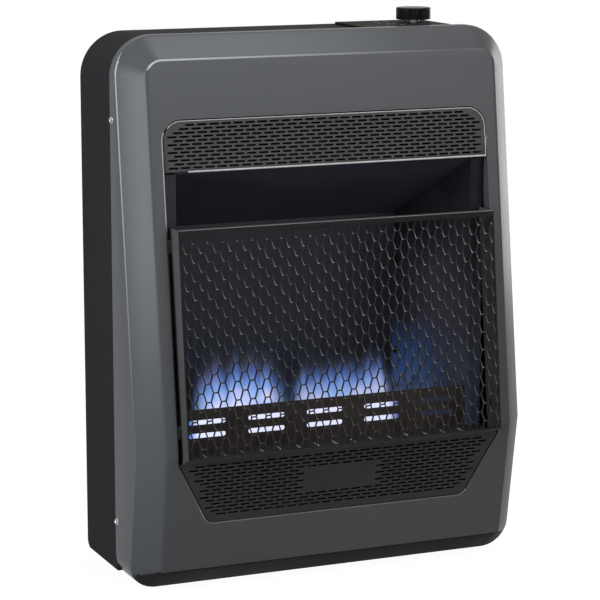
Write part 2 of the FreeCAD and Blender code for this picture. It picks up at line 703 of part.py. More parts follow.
def lower_grille():
    slope = math.cos(LOWER_LEAN)
    top_z = OPENING_SLANT_Z
    low = OPENING_BOTTOM_WIDTH / 2
    run = (OPENING_HALF - low) / (OPENING_SLANT_Z - OPENING_BOTTOM)
    gap_slant = GRILLE_GAP * math.hypot(1.0, run)
    origin = FACE_FOLD - LOWER_FRONT * GRILLE_SET
    top = (FOLD_Z - top_z) / slope
    bottom = (FOLD_Z - OPENING_BOTTOM - GRILLE_GAP) / slope

    def place(u, v):
        return origin + RIGHT * u + LOWER_FALL * v

    def half_at(v):
        return OPENING_HALF - gap_slant - max(v - top, 0.0) * slope * run

    corner = OPENING_BOTTOM_CORNER - GRILLE_GAP
    outer = outline([(-half_at(top), top, 0), (-half_at(bottom), bottom, corner),
                     (half_at(bottom), bottom, corner), (half_at(top), top, 0)], place)

    def on_badge(u, v):
        return abs(u) - SLOT_LENGTH / 2 < BADGE_WIDTH / 2 and BADGE_TOP < v - top < BADGE_BOTTOM

    first = top + LOWER_ROW_START
    slots = slot_wires(LOWER_GRILLE_ROWS, first, LOWER_ROW_PITCH, half_at, place, on_badge)
    plate = holed_sheet(outer, slots, LOWER_FRONT * -GRILLE_SHEET)
    front = place(0, top).y
    shelf = box(-half_at(top), half_at(top), front, SHIELD_Y - FIT, top_z, top_z + GRILLE_SHEET)
    tab_z = top_z + GRILLE_SHEET + TAB_LENGTH / 2
    tab = side_tab(tab_z, face_y(tab_z) + GRILLE_LIP)
    return joined([plate, shelf, tab, mirrored(tab)])


# Guard
def guard_line():
    """Bottom front corner of the mesh, the way up along it and its length."""
    bottom = Vec(0, FACE_FOLD_Y - GUARD_STAND_BOTTOM, GUARD_BOTTOM)
    top = Vec(0, face_y(GUARD_TOP) - GUARD_STAND_TOP, GUARD_TOP)
    way = top.sub(bottom)
    length = way.Length
    way.normalize()
    return bottom, way, length


def clipped(points, u0, u1, v0, v1):
    """The part of a convex polygon that lies inside a rectangle."""
    for axis, limit, sign in ((0, u0, 1), (0, u1, -1), (1, v0, 1), (1, v1, -1)):
        kept = []
        for start, end in zip(points, points[1:] + points[:1]):
            inside_start = sign * (start[axis] - limit) >= 0
            inside_end = sign * (end[axis] - limit) >= 0
            if inside_start:
                kept.append(start)
            if inside_start != inside_end:
                share = (limit - start[axis]) / (end[axis] - start[axis])
                kept.append(tuple(a + (b - a) * share for a, b in zip(start, end)))
        points = kept
    return points


def polygon_area(points):
    pairs = zip(points, points[1:] + points[:1])
    return abs(sum(a[0] * b[1] - b[0] * a[1] for a, b in pairs)) / 2


def mesh_cell():
    """Corners of one long hexagonal hole, drawn in by half a strand."""
    width = 2 * MESH_COLUMN - MESH_EDGE
    rise = MESH_PITCH / 2
    run = (width - MESH_EDGE) / 2
    half = MESH_STRAND / 2
    point = width / 2 - half * math.hypot(run, rise) / rise
    top = rise - half
    flat = point - top * run / rise
    return [(-flat, top), (flat, top), (point, 0.0), (flat, -top), (-flat, -top), (-point, 0.0)]


def guard_mesh():
    bottom, way, length = guard_line()
    front = RIGHT.cross(way)

    def place(u, v):
        return bottom + RIGHT * u + way * v

    u1 = GUARD_HALF - MESH_SIDE_MARGIN
    v0 = MESH_BOTTOM_MARGIN
    v1 = length - MESH_TOP_MARGIN
    holes = []
    columns = int(GUARD_HALF / MESH_COLUMN) + 1
    rows = int(length / MESH_PITCH) + 2
    for column_index in range(-columns, columns + 1):
        for row in range(rows):
            u = column_index * MESH_COLUMN
            v = (row + (column_index % 2) / 2) * MESH_PITCH
            cell = clipped([(u + a, v + b) for a, b in mesh_cell()], -u1, u1, v0, v1)
            if len(cell) < 3 or polygon_area(cell) < MESH_LEAST_HOLE:
                continue
            points = [place(*corner) for corner in cell]
            holes.append(Part.makePolygon(points + points[:1]))
    corners = [(-GUARD_HALF, 0, 0), (-GUARD_HALF, length, 0), (GUARD_HALF, length, 0), (GUARD_HALF, 0, 0)]
    return holed_sheet(outline(corners, place), holes, front * -GUARD_SHEET)


def guard_frame():
    bottom, way, length = guard_line()
    front = RIGHT.cross(way)
    low = bottom - front * GUARD_SHEET
    high = low + way * length
    shelf_z = OPENING_SLANT_Z + GRILLE_SHEET
    back_low = face_y(shelf_z) + GUARD_SIDE_REACH
    back_high = face_y(GUARD_TOP) + GUARD_SIDE_REACH
    side = [(low.y, low.z), (high.y, high.z), (back_high, high.z), (back_low, shelf_z + FIT),
            (face_y(shelf_z), shelf_z + FIT)]
    plate = sheet_across(side, GUARD_HALF - GUARD_SHEET, GUARD_HALF)
    lip_front = high - way * GUARD_SHEET
    lip = [(high.y, high.z), (high.y + GUARD_LIP, high.z), (high.y + GUARD_LIP, high.z - GUARD_SHEET),
           (lip_front.y, lip_front.z)]
    top_lip = sheet_across(lip, -GUARD_HALF, GUARD_HALF)
    toe_y = face_y(shelf_z)
    toe = [(low.y, low.z), (toe_y, shelf_z + FIT), (toe_y + GUARD_SHEET, shelf_z + FIT),
           (low.y + GUARD_SHEET, low.z + GUARD_SHEET)]
    bottom_fold = sheet_across(toe, -GUARD_HALF, GUARD_HALF)
    pieces = [plate, mirrored(plate), top_lip, bottom_fold]
    for spot in screw_spots_guard():
        tab = box(GUARD_HALF - GUARD_SHEET, OPENING_HALF - FIT, spot.y - GUARD_TAB_DEPTH / 2,
                  spot.y + GUARD_TAB_DEPTH / 2, spot.z - GUARD_TAB_HEIGHT / 2, spot.z + GUARD_TAB_HEIGHT / 2)
        pieces += [tab, mirrored(tab)]
    return joined(pieces).cut(cross_holes(screw_spots_guard(), FAR))


# Firebox
def wall_x(y):
    """Inner face of the splayed right wall at depth y."""
    share = (y - FIREBOX_FRONT_Y) / (FIREBOX_BACK_Y - FIREBOX_FRONT_Y)
    return (FIREBOX_FRONT_WIDTH + (FIREBOX_BACK_WIDTH - FIREBOX_FRONT_WIDTH) * share) / 2


def hood_z(y):
    """Underside of the hood at depth y."""
    share = (y - FIREBOX_FRONT_Y) / (FIREBOX_BACK_Y - FIREBOX_FRONT_Y)
    return HOOD_FRONT_Z - FIREBOX_SHEET + (HOOD_BACK_Z - HOOD_FRONT_Z) * share


def under_hood():
    y0 = FIREBOX_FRONT_Y - FIREBOX_SHEET
    y1 = FIREBOX_BACK_Y + FIREBOX_SHEET
    return sheet_across([(y0, 0), (y1, 0), (y1, hood_z(y1)), (y0, hood_z(y0))], -FAR, FAR)


def firebox_side():
    """Splayed right wall with its outward front flange."""
    front = wall_x(FIREBOX_FRONT_Y)
    back = wall_x(FIREBOX_BACK_Y)
    wall = column([(front, FIREBOX_FRONT_Y), (front + FIREBOX_SHEET, FIREBOX_FRONT_Y),
                   (back + FIREBOX_SHEET, FIREBOX_BACK_Y), (back, FIREBOX_BACK_Y)], FLOOR_TOP, FAR)
    flange_back = FIREBOX_FRONT_Y + FIREBOX_SHEET
    flange = box(front, front + FIREBOX_FLANGE, FIREBOX_FRONT_Y, flange_back, FLOOR_TOP, FAR)
    return wall.fuse(flange).common(under_hood()).removeSplitter()


def firebox_screw_spots():
    y = FIREBOX_BACK_Y - FIREBOX_SCREW_SET
    return [Vec(wall_x(y), y, z) for z in FIREBOX_SCREW_HEIGHTS]


def wall_outward():
    run = (FIREBOX_FRONT_WIDTH - FIREBOX_BACK_WIDTH) / 2
    return Vec(FIREBOX_BACK_Y - FIREBOX_FRONT_Y, run, 0).normalize()


def firebox_screw_set():
    return group([screw(spot, wall_outward(), FIREBOX_SCREW_LENGTH) for spot in firebox_screw_spots()])


def firebox_screw_holes():
    way = wall_outward()
    return group([rod(spot - way, spot + way * FIREBOX_EAR, SCREW_HOLE) for spot in firebox_screw_spots()])


def firebox_screws():
    right = firebox_screw_set()
    return group(right.Solids + mirrored(right).Solids)


def firebox_side_left():
    return mirrored(firebox_side().cut(firebox_screw_holes()))


def firebox_side_right():
    passages = []
    for start, diameter in ((Vec(0, BURNER_Y, BURNER_Z), BURNER_DIAMETER), (pilot_run(), PILOT_DIAMETER),
                            (thermocouple_run(), LEAD_DIAMETER), (ignition_run(), IGNITION_DIAMETER)):
        passages.append(rod(Vec(0, start.y, start.z), Vec(FAR, start.y, start.z), diameter + 2 * TUBE_FIT))
    return firebox_side().cut(group(passages + [firebox_screw_holes()]))


def firebox_back():
    half = wall_x(FIREBOX_BACK_Y) + FIREBOX_SHEET
    plate = box(-half, half, FIREBOX_BACK_Y, FIREBOX_BACK_Y + FIREBOX_SHEET, FLOOR_TOP, FAR)
    plate = plate.common(under_hood())
    way = wall_outward()
    along = UPWARD.cross(way)
    ear_start = Vec(half, FIREBOX_BACK_Y, 0)
    ears = []
    for spot in firebox_screw_spots():
        near = ear_start - along * FIREBOX_EAR
        points = [(near.x, near.y), (ear_start.x, ear_start.y), (ear_start.x, ear_start.y + FIREBOX_SHEET),
                  (near.x + way.x * FIREBOX_SHEET, near.y + way.y * FIREBOX_SHEET + FIREBOX_SHEET)]
        ears.append(column(points, spot.z - FIREBOX_EAR / 2, spot.z + FIREBOX_EAR / 2))
    pieces = [plate] + ears + [mirrored(ear) for ear in ears]
    holes = firebox_screw_holes()
    return joined(pieces).cut(group([firebox_side(), mirrored(firebox_side()), holes, mirrored(holes)]))


def firebox_hood():
    front = FIREBOX_FRONT_Y - FIREBOX_SHEET
    back = FIREBOX_BACK_Y + FIREBOX_SHEET
    outline_yz = [(front, hood_z(front)), (back, hood_z(back)), (back, hood_z(back) + FIREBOX_SHEET),
                  (front, hood_z(front) + FIREBOX_SHEET)]
    slab = sheet_across(outline_yz, -FAR, FAR)
    spread = FIREBOX_LAP
    plan = column([(-wall_x(front) - spread, front), (wall_x(front) + spread, front),
                   (wall_x(back) + spread, back), (-wall_x(back) - spread, back)], 0, FAR)
    return slab.common(plan)


def firebox_floor():
    front = SHIELD_Y
    back = FIREBOX_BACK_Y + FIREBOX_SHEET
    spread = FIREBOX_LAP
    return column([(-wall_x(front) - spread, front), (wall_x(front) + spread, front),
                   (wall_x(back) + spread, back), (-wall_x(back) - spread, back)], FIREBOX_FLOOR_Z, FLOOR_TOP)


def firebox_support():
    x = SUPPORT_WIDTH / 2
    y0 = BASE_FRONT_Y + SUPPORT_FOOT
    y1 = FIREBOX_BACK_Y
    web = box(x, x + SUPPORT_SHEET, y0, y1, BASE_TOP, FIREBOX_FLOOR_Z)
    foot = box(x, x + SUPPORT_FOOT, y0, y1, BASE_TOP, BASE_TOP + SUPPORT_SHEET)
    head = box(x, x + SUPPORT_FOOT, y0, y1, FIREBOX_FLOOR_Z - SUPPORT_SHEET, FIREBOX_FLOOR_Z)
    return joined([web, foot, head])


# Burner
def burner_right():
    """Open mouth of the burner, outside the right wall."""
    return wall_x(BURNER_Y) + BURNER_OVERHANG


def burner_shield():
    half = wall_x(SHIELD_Y + FIREBOX_SHEET) - FIT
    plate = box(-half, half, SHIELD_Y, SHIELD_Y + FIREBOX_SHEET, FLOOR_TOP, SHIELD_TOP)
    foot_half = wall_x(SHIELD_Y + SHIELD_FOOT) - FIT
    foot = box(-foot_half, foot_half, SHIELD_Y, SHIELD_Y + SHIELD_FOOT, FLOOR_TOP, FLOOR_TOP + FIREBOX_SHEET)
    slots = []
    rise = SHIELD_SLOT_HEIGHT / 2
    reach = SHIELD_SLOT_LENGTH / 2
    for pair in range(SHIELD_SLOT_PAIRS):
        x = (pair - (SHIELD_SLOT_PAIRS - 1) / 2) * SHIELD_SLOT_PITCH
        for z in SHIELD_SLOT_ROWS:
            corners = [(x - reach, z - rise, SHIELD_SLOT_CORNER), (x - reach, z + rise, SHIELD_SLOT_CORNER),
                       (x + reach, z + rise, SHIELD_SLOT_CORNER), (x + reach, z - rise, SHIELD_SLOT_CORNER)]
            slots.append(through_cover(outline(corners, upright(-FAR))))
    return joined([plate, foot]).cut(group(slots))


def burner_tube():
    start = Vec(BURNER_LEFT, BURNER_Y, BURNER_Z)
    end = Vec(burner_right(), BURNER_Y, BURNER_Z)
    tube = rod(start, end, BURNER_DIAMETER)
    bore = rod(start + RIGHT * BURNER_WALL, end + RIGHT, BURNER_DIAMETER - 2 * BURNER_WALL)
    ports = []
    half = PORT_WIDTH / 2
    reach = PORT_REACH / 2
    for index in range(PORT_COUNT):
        x = (index - (PORT_COUNT - 1) / 2) * PORT_PITCH
        ports.append(box(x - half, x + half, BURNER_Y - reach, BURNER_Y + reach, BURNER_Z, FAR))
    return tube.cut(group([bore] + ports))


def burner_saddles():
    saddles = []
    hollow = rod(Vec(-FAR, BURNER_Y, BURNER_Z), Vec(FAR, BURNER_Y, BURNER_Z), BURNER_DIAMETER + 2 * FIT)
    half = SADDLE_WIDTH / 2
    top = BURNER_Z - BURNER_RADIUS / 2
    for side in (-1, 1):
        x = side * SADDLE_SPAN / 2
        block = box(x - half, x + half, BURNER_Y - BURNER_RADIUS, BURNER_Y + BURNER_RADIUS, FLOOR_TOP, top)
        saddles.append(block.cut(hollow))
    return group(saddles)


def air_shutter():
    start = Vec(burner_right() - SHUTTER_LENGTH, BURNER_Y, BURNER_Z)
    end = start + RIGHT * SHUTTER_LENGTH
    bore = BURNER_DIAMETER + 2 * FIT
    return rod(start, end, bore + 2 * SHUTTER_WALL).cut(rod(start - RIGHT, end + RIGHT, bore))


# Injector and tubes
def injector():
    half = INJECTOR_SIZE / 2
    block = box(INJECTOR_X, INJECTOR_X + INJECTOR_SIZE, BURNER_Y - half, BURNER_Y + half,
                BURNER_Z - half, BURNER_Z + half)
    tip = Vec(burner_right(), BURNER_Y, BURNER_Z)
    nozzle = rod(Vec(INJECTOR_X, BURNER_Y, BURNER_Z), tip, INJECTOR_NOZZLE)
    return block.fuse(nozzle).removeSplitter()


def injector_bracket():
    x0 = INJECTOR_X - INJECTOR_SHEET
    y0 = BURNER_Y - INJECTOR_PLATE_WIDTH / 2
    y1 = BURNER_Y + INJECTOR_PLATE_WIDTH / 2
    arm_z = FIREBOX_FLOOR_Z - INJECTOR_SHEET
    plate = box(x0, INJECTOR_X, y0, y1, arm_z, BURNER_Z + INJECTOR_SIZE)
    arm = box(wall_x(y1) - INJECTOR_FOOT, INJECTOR_X, y0, y1, arm_z, FIREBOX_FLOOR_Z)
    hole = rod(Vec(0, BURNER_Y, BURNER_Z), Vec(FAR, BURNER_Y, BURNER_Z), INJECTOR_NOZZLE + 2 * FIT)
    return joined([plate, arm]).cut(hole)


def manifold_points():
    start = Vec(MANIFOLD_X, BURNER_Y, BURNER_Z + INJECTOR_SIZE / 2)
    high = Vec(start.x, start.y, MANIFOLD_PORT.z)
    return [start, high, Vec(start.x, MANIFOLD_PORT.y, MANIFOLD_PORT.z), MANIFOLD_PORT]


def supply_points():
    start = Vec(REGULATOR_X, INLET_Y, REGULATOR_TOP)
    return [start, Vec(start.x, start.y, SUPPLY_PORT.z), SUPPLY_PORT]


def pilot_run():
    return Vec(PILOT_X + PILOT_SPACING, PILOT_Y, PILOT_PLATE_Z - PILOT_BELOW)


def pilot_points():
    end = pilot_run() + RIGHT * (PILOT_BURNER_DIAMETER / 2 + FIT)
    high = Vec(PILOT_LINE_X, PILOT_PORT.y, PILOT_PORT.z)
    low = Vec(PILOT_LINE_X, PILOT_PORT.y, end.z)
    return [PILOT_PORT, high, low, Vec(PILOT_LINE_X, end.y, end.z), end]


def thermocouple_run():
    return Vec(PILOT_X, THERMOCOUPLE_PORT.y, FLOOR_TOP + THERMOCOUPLE_RUN_RISE)


def thermocouple_points():
    low = thermocouple_run()
    start = Vec(PILOT_X, PILOT_Y, PILOT_PLATE_Z - PILOT_BELOW)
    corner = Vec(THERMOCOUPLE_LINE_X, low.y, low.z)
    high = Vec(THERMOCOUPLE_LINE_X, low.y, THERMOCOUPLE_PORT.z)
    return [start, Vec(start.x, start.y, low.z), low, corner, high, THERMOCOUPLE_PORT]


def ignition_run():
    return Vec(PILOT_X - PILOT_SPACING, IGNITION_PORT.y, FLOOR_TOP + IGNITION_RUN_RISE)


def ignition_points():
    low = ignition_run()
    start = Vec(low.x, PILOT_Y, PILOT_PLATE_Z - PILOT_BELOW)
    corner = Vec(IGNITION_LINE_X, low.y, low.z)
    high = Vec(IGNITION_LINE_X, low.y, IGNITION_PORT.z - IGNITION_DROP)
    under = Vec(IGNITION_PORT.x, low.y, high.z)
    return [start, Vec(start.x, start.y, low.z), low, corner, high, under, IGNITION_PORT]


def capillary_points():
    low = Vec(CAPILLARY_PORT.x, CAPILLARY_PORT.y, CAPILLARY_PORT.z - CAPILLARY_DROP)
    back = Vec(low.x, CAPILLARY_Y, low.z)
    side = Vec(BULB_X, CAPILLARY_Y, low.z)
    foot = Vec(BULB_X, CAPILLARY_Y, BULB_Z)
    return [CAPILLARY_PORT, low, back, side, foot, Vec(BULB_X, BULB_BACK_Y, BULB_Z)]


def manifold_tube():
    return bent_tube(manifold_points(), MANIFOLD_DIAMETER, TUBE_BEND)


def supply_tube():
    return bent_tube(supply_points(), SUPPLY_DIAMETER, TUBE_BEND)


def pilot_tube():
    return bent_tube(pilot_points(), PILOT_DIAMETER, LEAD_BEND)


def thermocouple_lead():
    return bent_tube(thermocouple_points(), LEAD_DIAMETER, LEAD_BEND)


def ignition_lead():
    return bent_tube(ignition_points(), IGNITION_DIAMETER, IGNITION_BEND)


def capillary_tube():
    return bent_tube(capillary_points(), CAPILLARY_DIAMETER, LEAD_BEND)


def tube_nut(seat, outward, diameter):
    """Hexagonal nut on a tube, with its face on the seat."""
    end = seat + outward * NUT_LENGTH
    nut = hex_rod(seat, end, diameter + 2 * NUT_WALL)
    return nut.cut(rod(seat - outward, end + outward, diameter + 2 * TUBE_FIT))


def tube_nuts():
    seats = [(MANIFOLD_PORT, RIGHT, MANIFOLD_DIAMETER), (SUPPLY_PORT, RIGHT, SUPPLY_DIAMETER),
             (PILOT_PORT, RIGHT, PILOT_DIAMETER), (supply_points()[0], UPWARD, SUPPLY_DIAMETER),
             (manifold_points()[0], UPWARD, MANIFOLD_DIAMETER)]
    return group([tube_nut(*seat) for seat in seats])


# Regulator and gas inlet
def regulator():
    body = box(REGULATOR_RIGHT - REGULATOR_LENGTH, REGULATOR_RIGHT, INLET_Y - REGULATOR_WIDTH / 2,
               INLET_Y + REGULATOR_WIDTH / 2, REGULATOR_Z, REGULATOR_TOP)
    seat = Vec(REGULATOR_X, INLET_Y - REGULATOR_WIDTH / 2, INLET_Z)
    cap = rod(seat, seat - BACKWARD * REGULATOR_CAP_HEIGHT, REGULATOR_CAP_DIAMETER)
    return body.fuse(cap).removeSplitter()


def regulator_bracket():
    x0 = REGULATOR_RIGHT - REGULATOR_LENGTH
    y0 = INLET_Y - REGULATOR_WIDTH / 2
    y1 = INLET_Y + REGULATOR_WIDTH / 2
    web = box(x0, x0 + BRACKET_SHEET, y0, y1, BASE_TOP, REGULATOR_Z)
    foot = box(x0, x0 + SUPPORT_FOOT, y0, y1, BASE_TOP, BASE_TOP + BRACKET_SHEET)
    seat = box(x0, REGULATOR_RIGHT, y0, y1, REGULATOR_Z - BRACKET_SHEET, REGULATOR_Z)
    return joined([web, foot, seat])


def inlet_fitting():
    root = Vec(REGULATOR_RIGHT, INLET_Y, INLET_Z)
    neck = root + RIGHT * INLET_HEX_LENGTH
    flange = Vec(CASE_INNER - FIT, INLET_Y, INLET_Z)
    end = Vec(CASE_HALF + INLET_REACH, INLET_Y, INLET_Z)
    disc = rod(flange - RIGHT * INLET_FLANGE_SHEET, flange, INLET_FLANGE)
    body = joined([hex_rod(root, neck, INLET_HEX), rod(neck, end, INLET_THREAD), disc])
    return body.cut(rod(neck, end + RIGHT, INLET_BORE))


def sensing_bulb():
    back = Vec(BULB_X, BULB_BACK_Y, BULB_Z)
    return rod(back, back - BACKWARD * BULB_LENGTH, BULB_DIAMETER)


def bulb_clips():
    clips = []
    reach = BULB_DIAMETER / 2 + CLIP_WALL
    half = CLIP_WIDTH / 2
    for y in (BULB_BACK_Y - CLIP_SET, BULB_BACK_Y - BULB_LENGTH + CLIP_SET):
        block = box(BULB_X - reach, CASE_INNER, y - half, y + half, BULB_Z - reach, BULB_Z + reach)
        hole = rod(Vec(BULB_X, -FAR, BULB_Z), Vec(BULB_X, FAR, BULB_Z), BULB_DIAMETER + 2 * FIT)
        clips.append(block.cut(hole))
    return group(clips)


# Gas valve and control knob
def axis_point(z):
    return Vec(KNOB_X, KNOB_Y, z)


def gas_valve():
    body = box(KNOB_X - VALVE_WIDTH / 2, VALVE_SIDE_X, KNOB_Y - VALVE_DEPTH / 2, KNOB_Y + VALVE_DEPTH / 2,
               VALVE_BOTTOM, VALVE_TOP)
    neck = rod(axis_point(VALVE_TOP), axis_point(NECK_TOP), VALVE_NECK)
    bore = rod(axis_point(ROTOR_BOTTOM - FIT), axis_point(FAR), ROTOR_DIAMETER + 2 * RUNNING_FIT)
    return body.fuse(neck).cut(bore).removeSplitter()


def valve_bracket():
    x0 = KNOB_X - BRACKET_LEFT
    x1 = KNOB_X + BRACKET_RIGHT
    y0 = KNOB_Y - BRACKET_DEPTH / 2
    y1 = KNOB_Y + BRACKET_DEPTH / 2
    plate = box(x0, x1, y0, y1, VALVE_TOP, VALVE_TOP + BRACKET_SHEET)
    left = box(x0, x0 + BRACKET_SHEET, y0, y1, VALVE_TOP, ROOF_UNDER)
    right = box(x1 - BRACKET_SHEET, x1, y0, y1, VALVE_TOP, ROOF_UNDER)
    return joined([plate, left, right]).cut(rod(axis_point(0), axis_point(FAR), VALVE_NECK + 2 * FIT))


def valve_nut():
    seat = axis_point(VALVE_TOP + BRACKET_SHEET)
    nut = hex_rod(seat, seat + UPWARD * VALVE_NUT_HEIGHT, VALVE_NUT_FLATS)
    return nut.cut(rod(axis_point(0), axis_point(FAR), VALVE_NECK + 2 * FIT))


def keyed_rod(z0, z1, clearance):
    """Round rod with one flat, grown all round by a clearance."""
    shaft = rod(axis_point(z0), axis_point(z1), STEM_DIAMETER + 2 * clearance)
    flat = KNOB_X + STEM_FLAT + clearance
    return shaft.common(box(-FAR, flat, -FAR, FAR, z0, z1))


def valve_rotor():
    rotor = rod(axis_point(ROTOR_BOTTOM), axis_point(ROTOR_TOP), ROTOR_DIAMETER)
    return rotor.cut(keyed_rod(ROTOR_BOTTOM + ROTOR_FLOOR, FAR, RUNNING_FIT))


def valve_stem():
    return keyed_rod(STEM_BOTTOM, STEM_TOP, 0.0)


def control_knob():
    top = KNOB_Z + KNOB_HEIGHT
    body = rod(axis_point(KNOB_Z), axis_point(top), KNOB_DIAMETER)
    body = body.makeFillet(KNOB_EDGE, [edge for edge in body.Edges if abs(edge.BoundBox.ZMin - top) < FIT])
    cuts = [rod(axis_point(0), axis_point(KNOB_Z + KNOB_HOLLOW_DEPTH), KNOB_HOLLOW_DIAMETER)]
    cuts.append(keyed_rod(KNOB_Z, STEM_TOP + FIT, RUNNING_FIT))
    for index in range(KNOB_GRIPS):
        angle = 2 * math.pi * (index + 0.5) / KNOB_GRIPS
        side = Vec(math.cos(angle), math.sin(angle), 0) * (KNOB_DIAMETER / 2 + KNOB_GRIP_SET)
        cuts.append(rod(axis_point(0) + side, axis_point(top - KNOB_GRIP_STOP) + side, 2 * KNOB_GRIP_RADIUS))
    return body.cut(group(cuts))


def knob_spring():
    inner = ROTOR_DIAMETER + 2 * SPRING_GAP
    low = axis_point(NECK_TOP + FIT)
    high = axis_point(KNOB_Z + KNOB_HOLLOW_DEPTH - FIT)
    return rod(low, high, inner + 2 * SPRING_WALL).cut(rod(low, high, inner))


def control_plate():
    x0 = KNOB_X - PLATE_LEFT
    x1 = KNOB_X + PLATE_RIGHT
    y0 = RIM_Y + PLATE_FRONT_SET
    y1 = y0 + PLATE_DEPTH
    plan = [(x0, y0, PLATE_CORNER), (x0, y1, PLATE_CORNER), (x1, y1, PLATE_CORNER), (x1, y0, PLATE_CORNER)]
    tray = Part.Face(outline(plan, level(CASE_ROOF))).extrude(UPWARD * PLATE_RAISE)
    step = PLATE_SHEET
    inside = [(x0 + step, y0 + step, PLATE_CORNER - step), (x0 + step, y1 - step, PLATE_CORNER - step),
              (x1 - step, y1 - step, PLATE_CORNER - step), (x1 - step, y0 + step, PLATE_CORNER - step)]
    hollow = Part.Face(outline(inside, level(0.0))).extrude(UPWARD * (PLATE_TOP - PLATE_SHEET))
    return tray.cut(group([hollow, rod(axis_point(0), axis_point(FAR), PLATE_HOLE)]))


# Pilot
def pilot_spot(place):
    return Vec(PILOT_X + place * PILOT_SPACING, PILOT_Y, 0)


def pilot_bracket():
    x0 = PILOT_X - PILOT_PLATE_WIDTH / 2
    x1 = PILOT_X + PILOT_PLATE_WIDTH / 2
    y1 = PILOT_Y + PILOT_PLATE_DEPTH / 2
    plate = box(x0, x1, PILOT_Y - PILOT_PLATE_DEPTH / 2, y1, PILOT_PLATE_Z, PILOT_PLATE_TOP)
    leg_x = PILOT_X + PILOT_SPACING / 2
    leg = box(leg_x, x1, y1 - PILOT_SHEET, y1, FLOOR_TOP, PILOT_PLATE_Z)
    foot = box(leg_x, x1, y1 - PILOT_SHEET, y1 + PILOT_FOOT, FLOOR_TOP, FLOOR_TOP + PILOT_SHEET)
    holes = []
    for place, diameter in ((1, PILOT_BURNER_DIAMETER), (0, THERMOCOUPLE_DIAMETER), (-1, INSULATOR_DIAMETER)):
        spot = pilot_spot(place)
        holes.append(rod(spot, spot + UPWARD * FAR, diameter + 2 * FIT))
    return joined([plate, leg, foot]).cut(group(holes))


def pilot_burner():
    spot = pilot_spot(1)
    low = PILOT_PLATE_Z - PILOT_BELOW - PILOT_DIAMETER
    high = PILOT_PLATE_TOP + PILOT_BURNER_HEIGHT
    return rod(spot + UPWARD * low, spot + UPWARD * high, PILOT_BURNER_DIAMETER)


def thermocouple():
    spot = pilot_spot(0)
    low = PILOT_PLATE_Z - PILOT_BELOW
    high = PILOT_PLATE_TOP + THERMOCOUPLE_HEIGHT
    return rod(spot + UPWARD * low, spot + UPWARD * high, THERMOCOUPLE_DIAMETER)


def electrode_insulator():
    spot = pilot_spot(-1)
    low = PILOT_PLATE_Z - PILOT_BELOW
    high = PILOT_PLATE_TOP + INSULATOR_HEIGHT
    return rod(spot + UPWARD * low, spot + UPWARD * high, INSULATOR_DIAMETER)


def spark_electrode():
    low = pilot_spot(-1) + UPWARD * (PILOT_PLATE_TOP + INSULATOR_HEIGHT)
    return rod(low, low + UPWARD * ELECTRODE_HEIGHT, ELECTRODE_DIAMETER)


PIECES = {
    "front_cover": front_cover, "cover_screws": cover_screws, "casing_wrap": casing_wrap,
    "back_panel": back_panel, "back_screws": back_screws, "base_pan": base_pan, "rear_feet": rear_feet,
    "upper_grille": upper_grille, "lower_grille": lower_grille,
    "guard_mesh": guard_mesh, "guard_frame": guard_frame, "guard_screws": guard_screws,
    "firebox_back": firebox_back, "firebox_hood": firebox_hood, "firebox_floor": firebox_floor,
    "firebox_side_left": firebox_side_left, "firebox_side_right": firebox_side_right,
    "firebox_screws": firebox_screws,
    "firebox_support_right": firebox_support, "firebox_support_left": lambda: mirrored(firebox_support()),
    "burner_shield": burner_shield, "burner_tube": burner_tube, "burner_saddles": burner_saddles,
    "air_shutter": air_shutter, "injector": injector, "injector_bracket": injector_bracket,
    "manifold_tube": manifold_tube, "supply_tube": supply_tube, "pilot_tube": pilot_tube,
    "tube_nuts": tube_nuts, "thermocouple_lead": thermocouple_lead, "ignition_lead": ignition_lead,
    "capillary_tube": capillary_tube,
    "pressure_regulator": regulator, "regulator_bracket": regulator_bracket, "inlet_fitting": inlet_fitting,
    "sensing_bulb": sensing_bulb, "bulb_clips": bulb_clips,
    "gas_valve": gas_valve, "valve_bracket": valve_bracket, "valve_nut": valve_nut,
    "valve_rotor": valve_rotor, "valve_stem": valve_stem, "control_knob": control_knob,
    "knob_spring": knob_spring, "control_plate": control_plate,
    "pilot_bracket": pilot_bracket, "pilot_burner": pilot_burner, "thermocouple": thermocouple,
    "electrode_insulator": electrode_insulator, "spark_electrode": spark_electrode,
}

os.makedirs("parts", exist_ok=True)
for name, make in PIECES.items():
    shape = make()
    if not shape.isValid():
        raise ValueError(name + " is not a valid shape")
    shape.exportStep("parts/" + name + ".step")
    print(name, len(shape.Solids), "solids", round(shape.Volume / 1000.0, 1), "cm3")
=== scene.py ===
# %% [markdown]
# A ventless gas heater, dressed for its photograph.
#
# The heater is a folded steel cover on a black case. Behind an expanded-metal guard a burner sends blue
# flames up a dark firebox. The solid model already holds every piece in its place, so this lesson is about
# surfaces: pressed edges that catch light, paint, bare steel, enamel and fire. All sizes are in metres, with
# +Z up and the front towards -Y.

# %% Load the solid model as a fixed frame
import bpy
import bmesh
import json
import math
from mathutils import Matrix, Vector


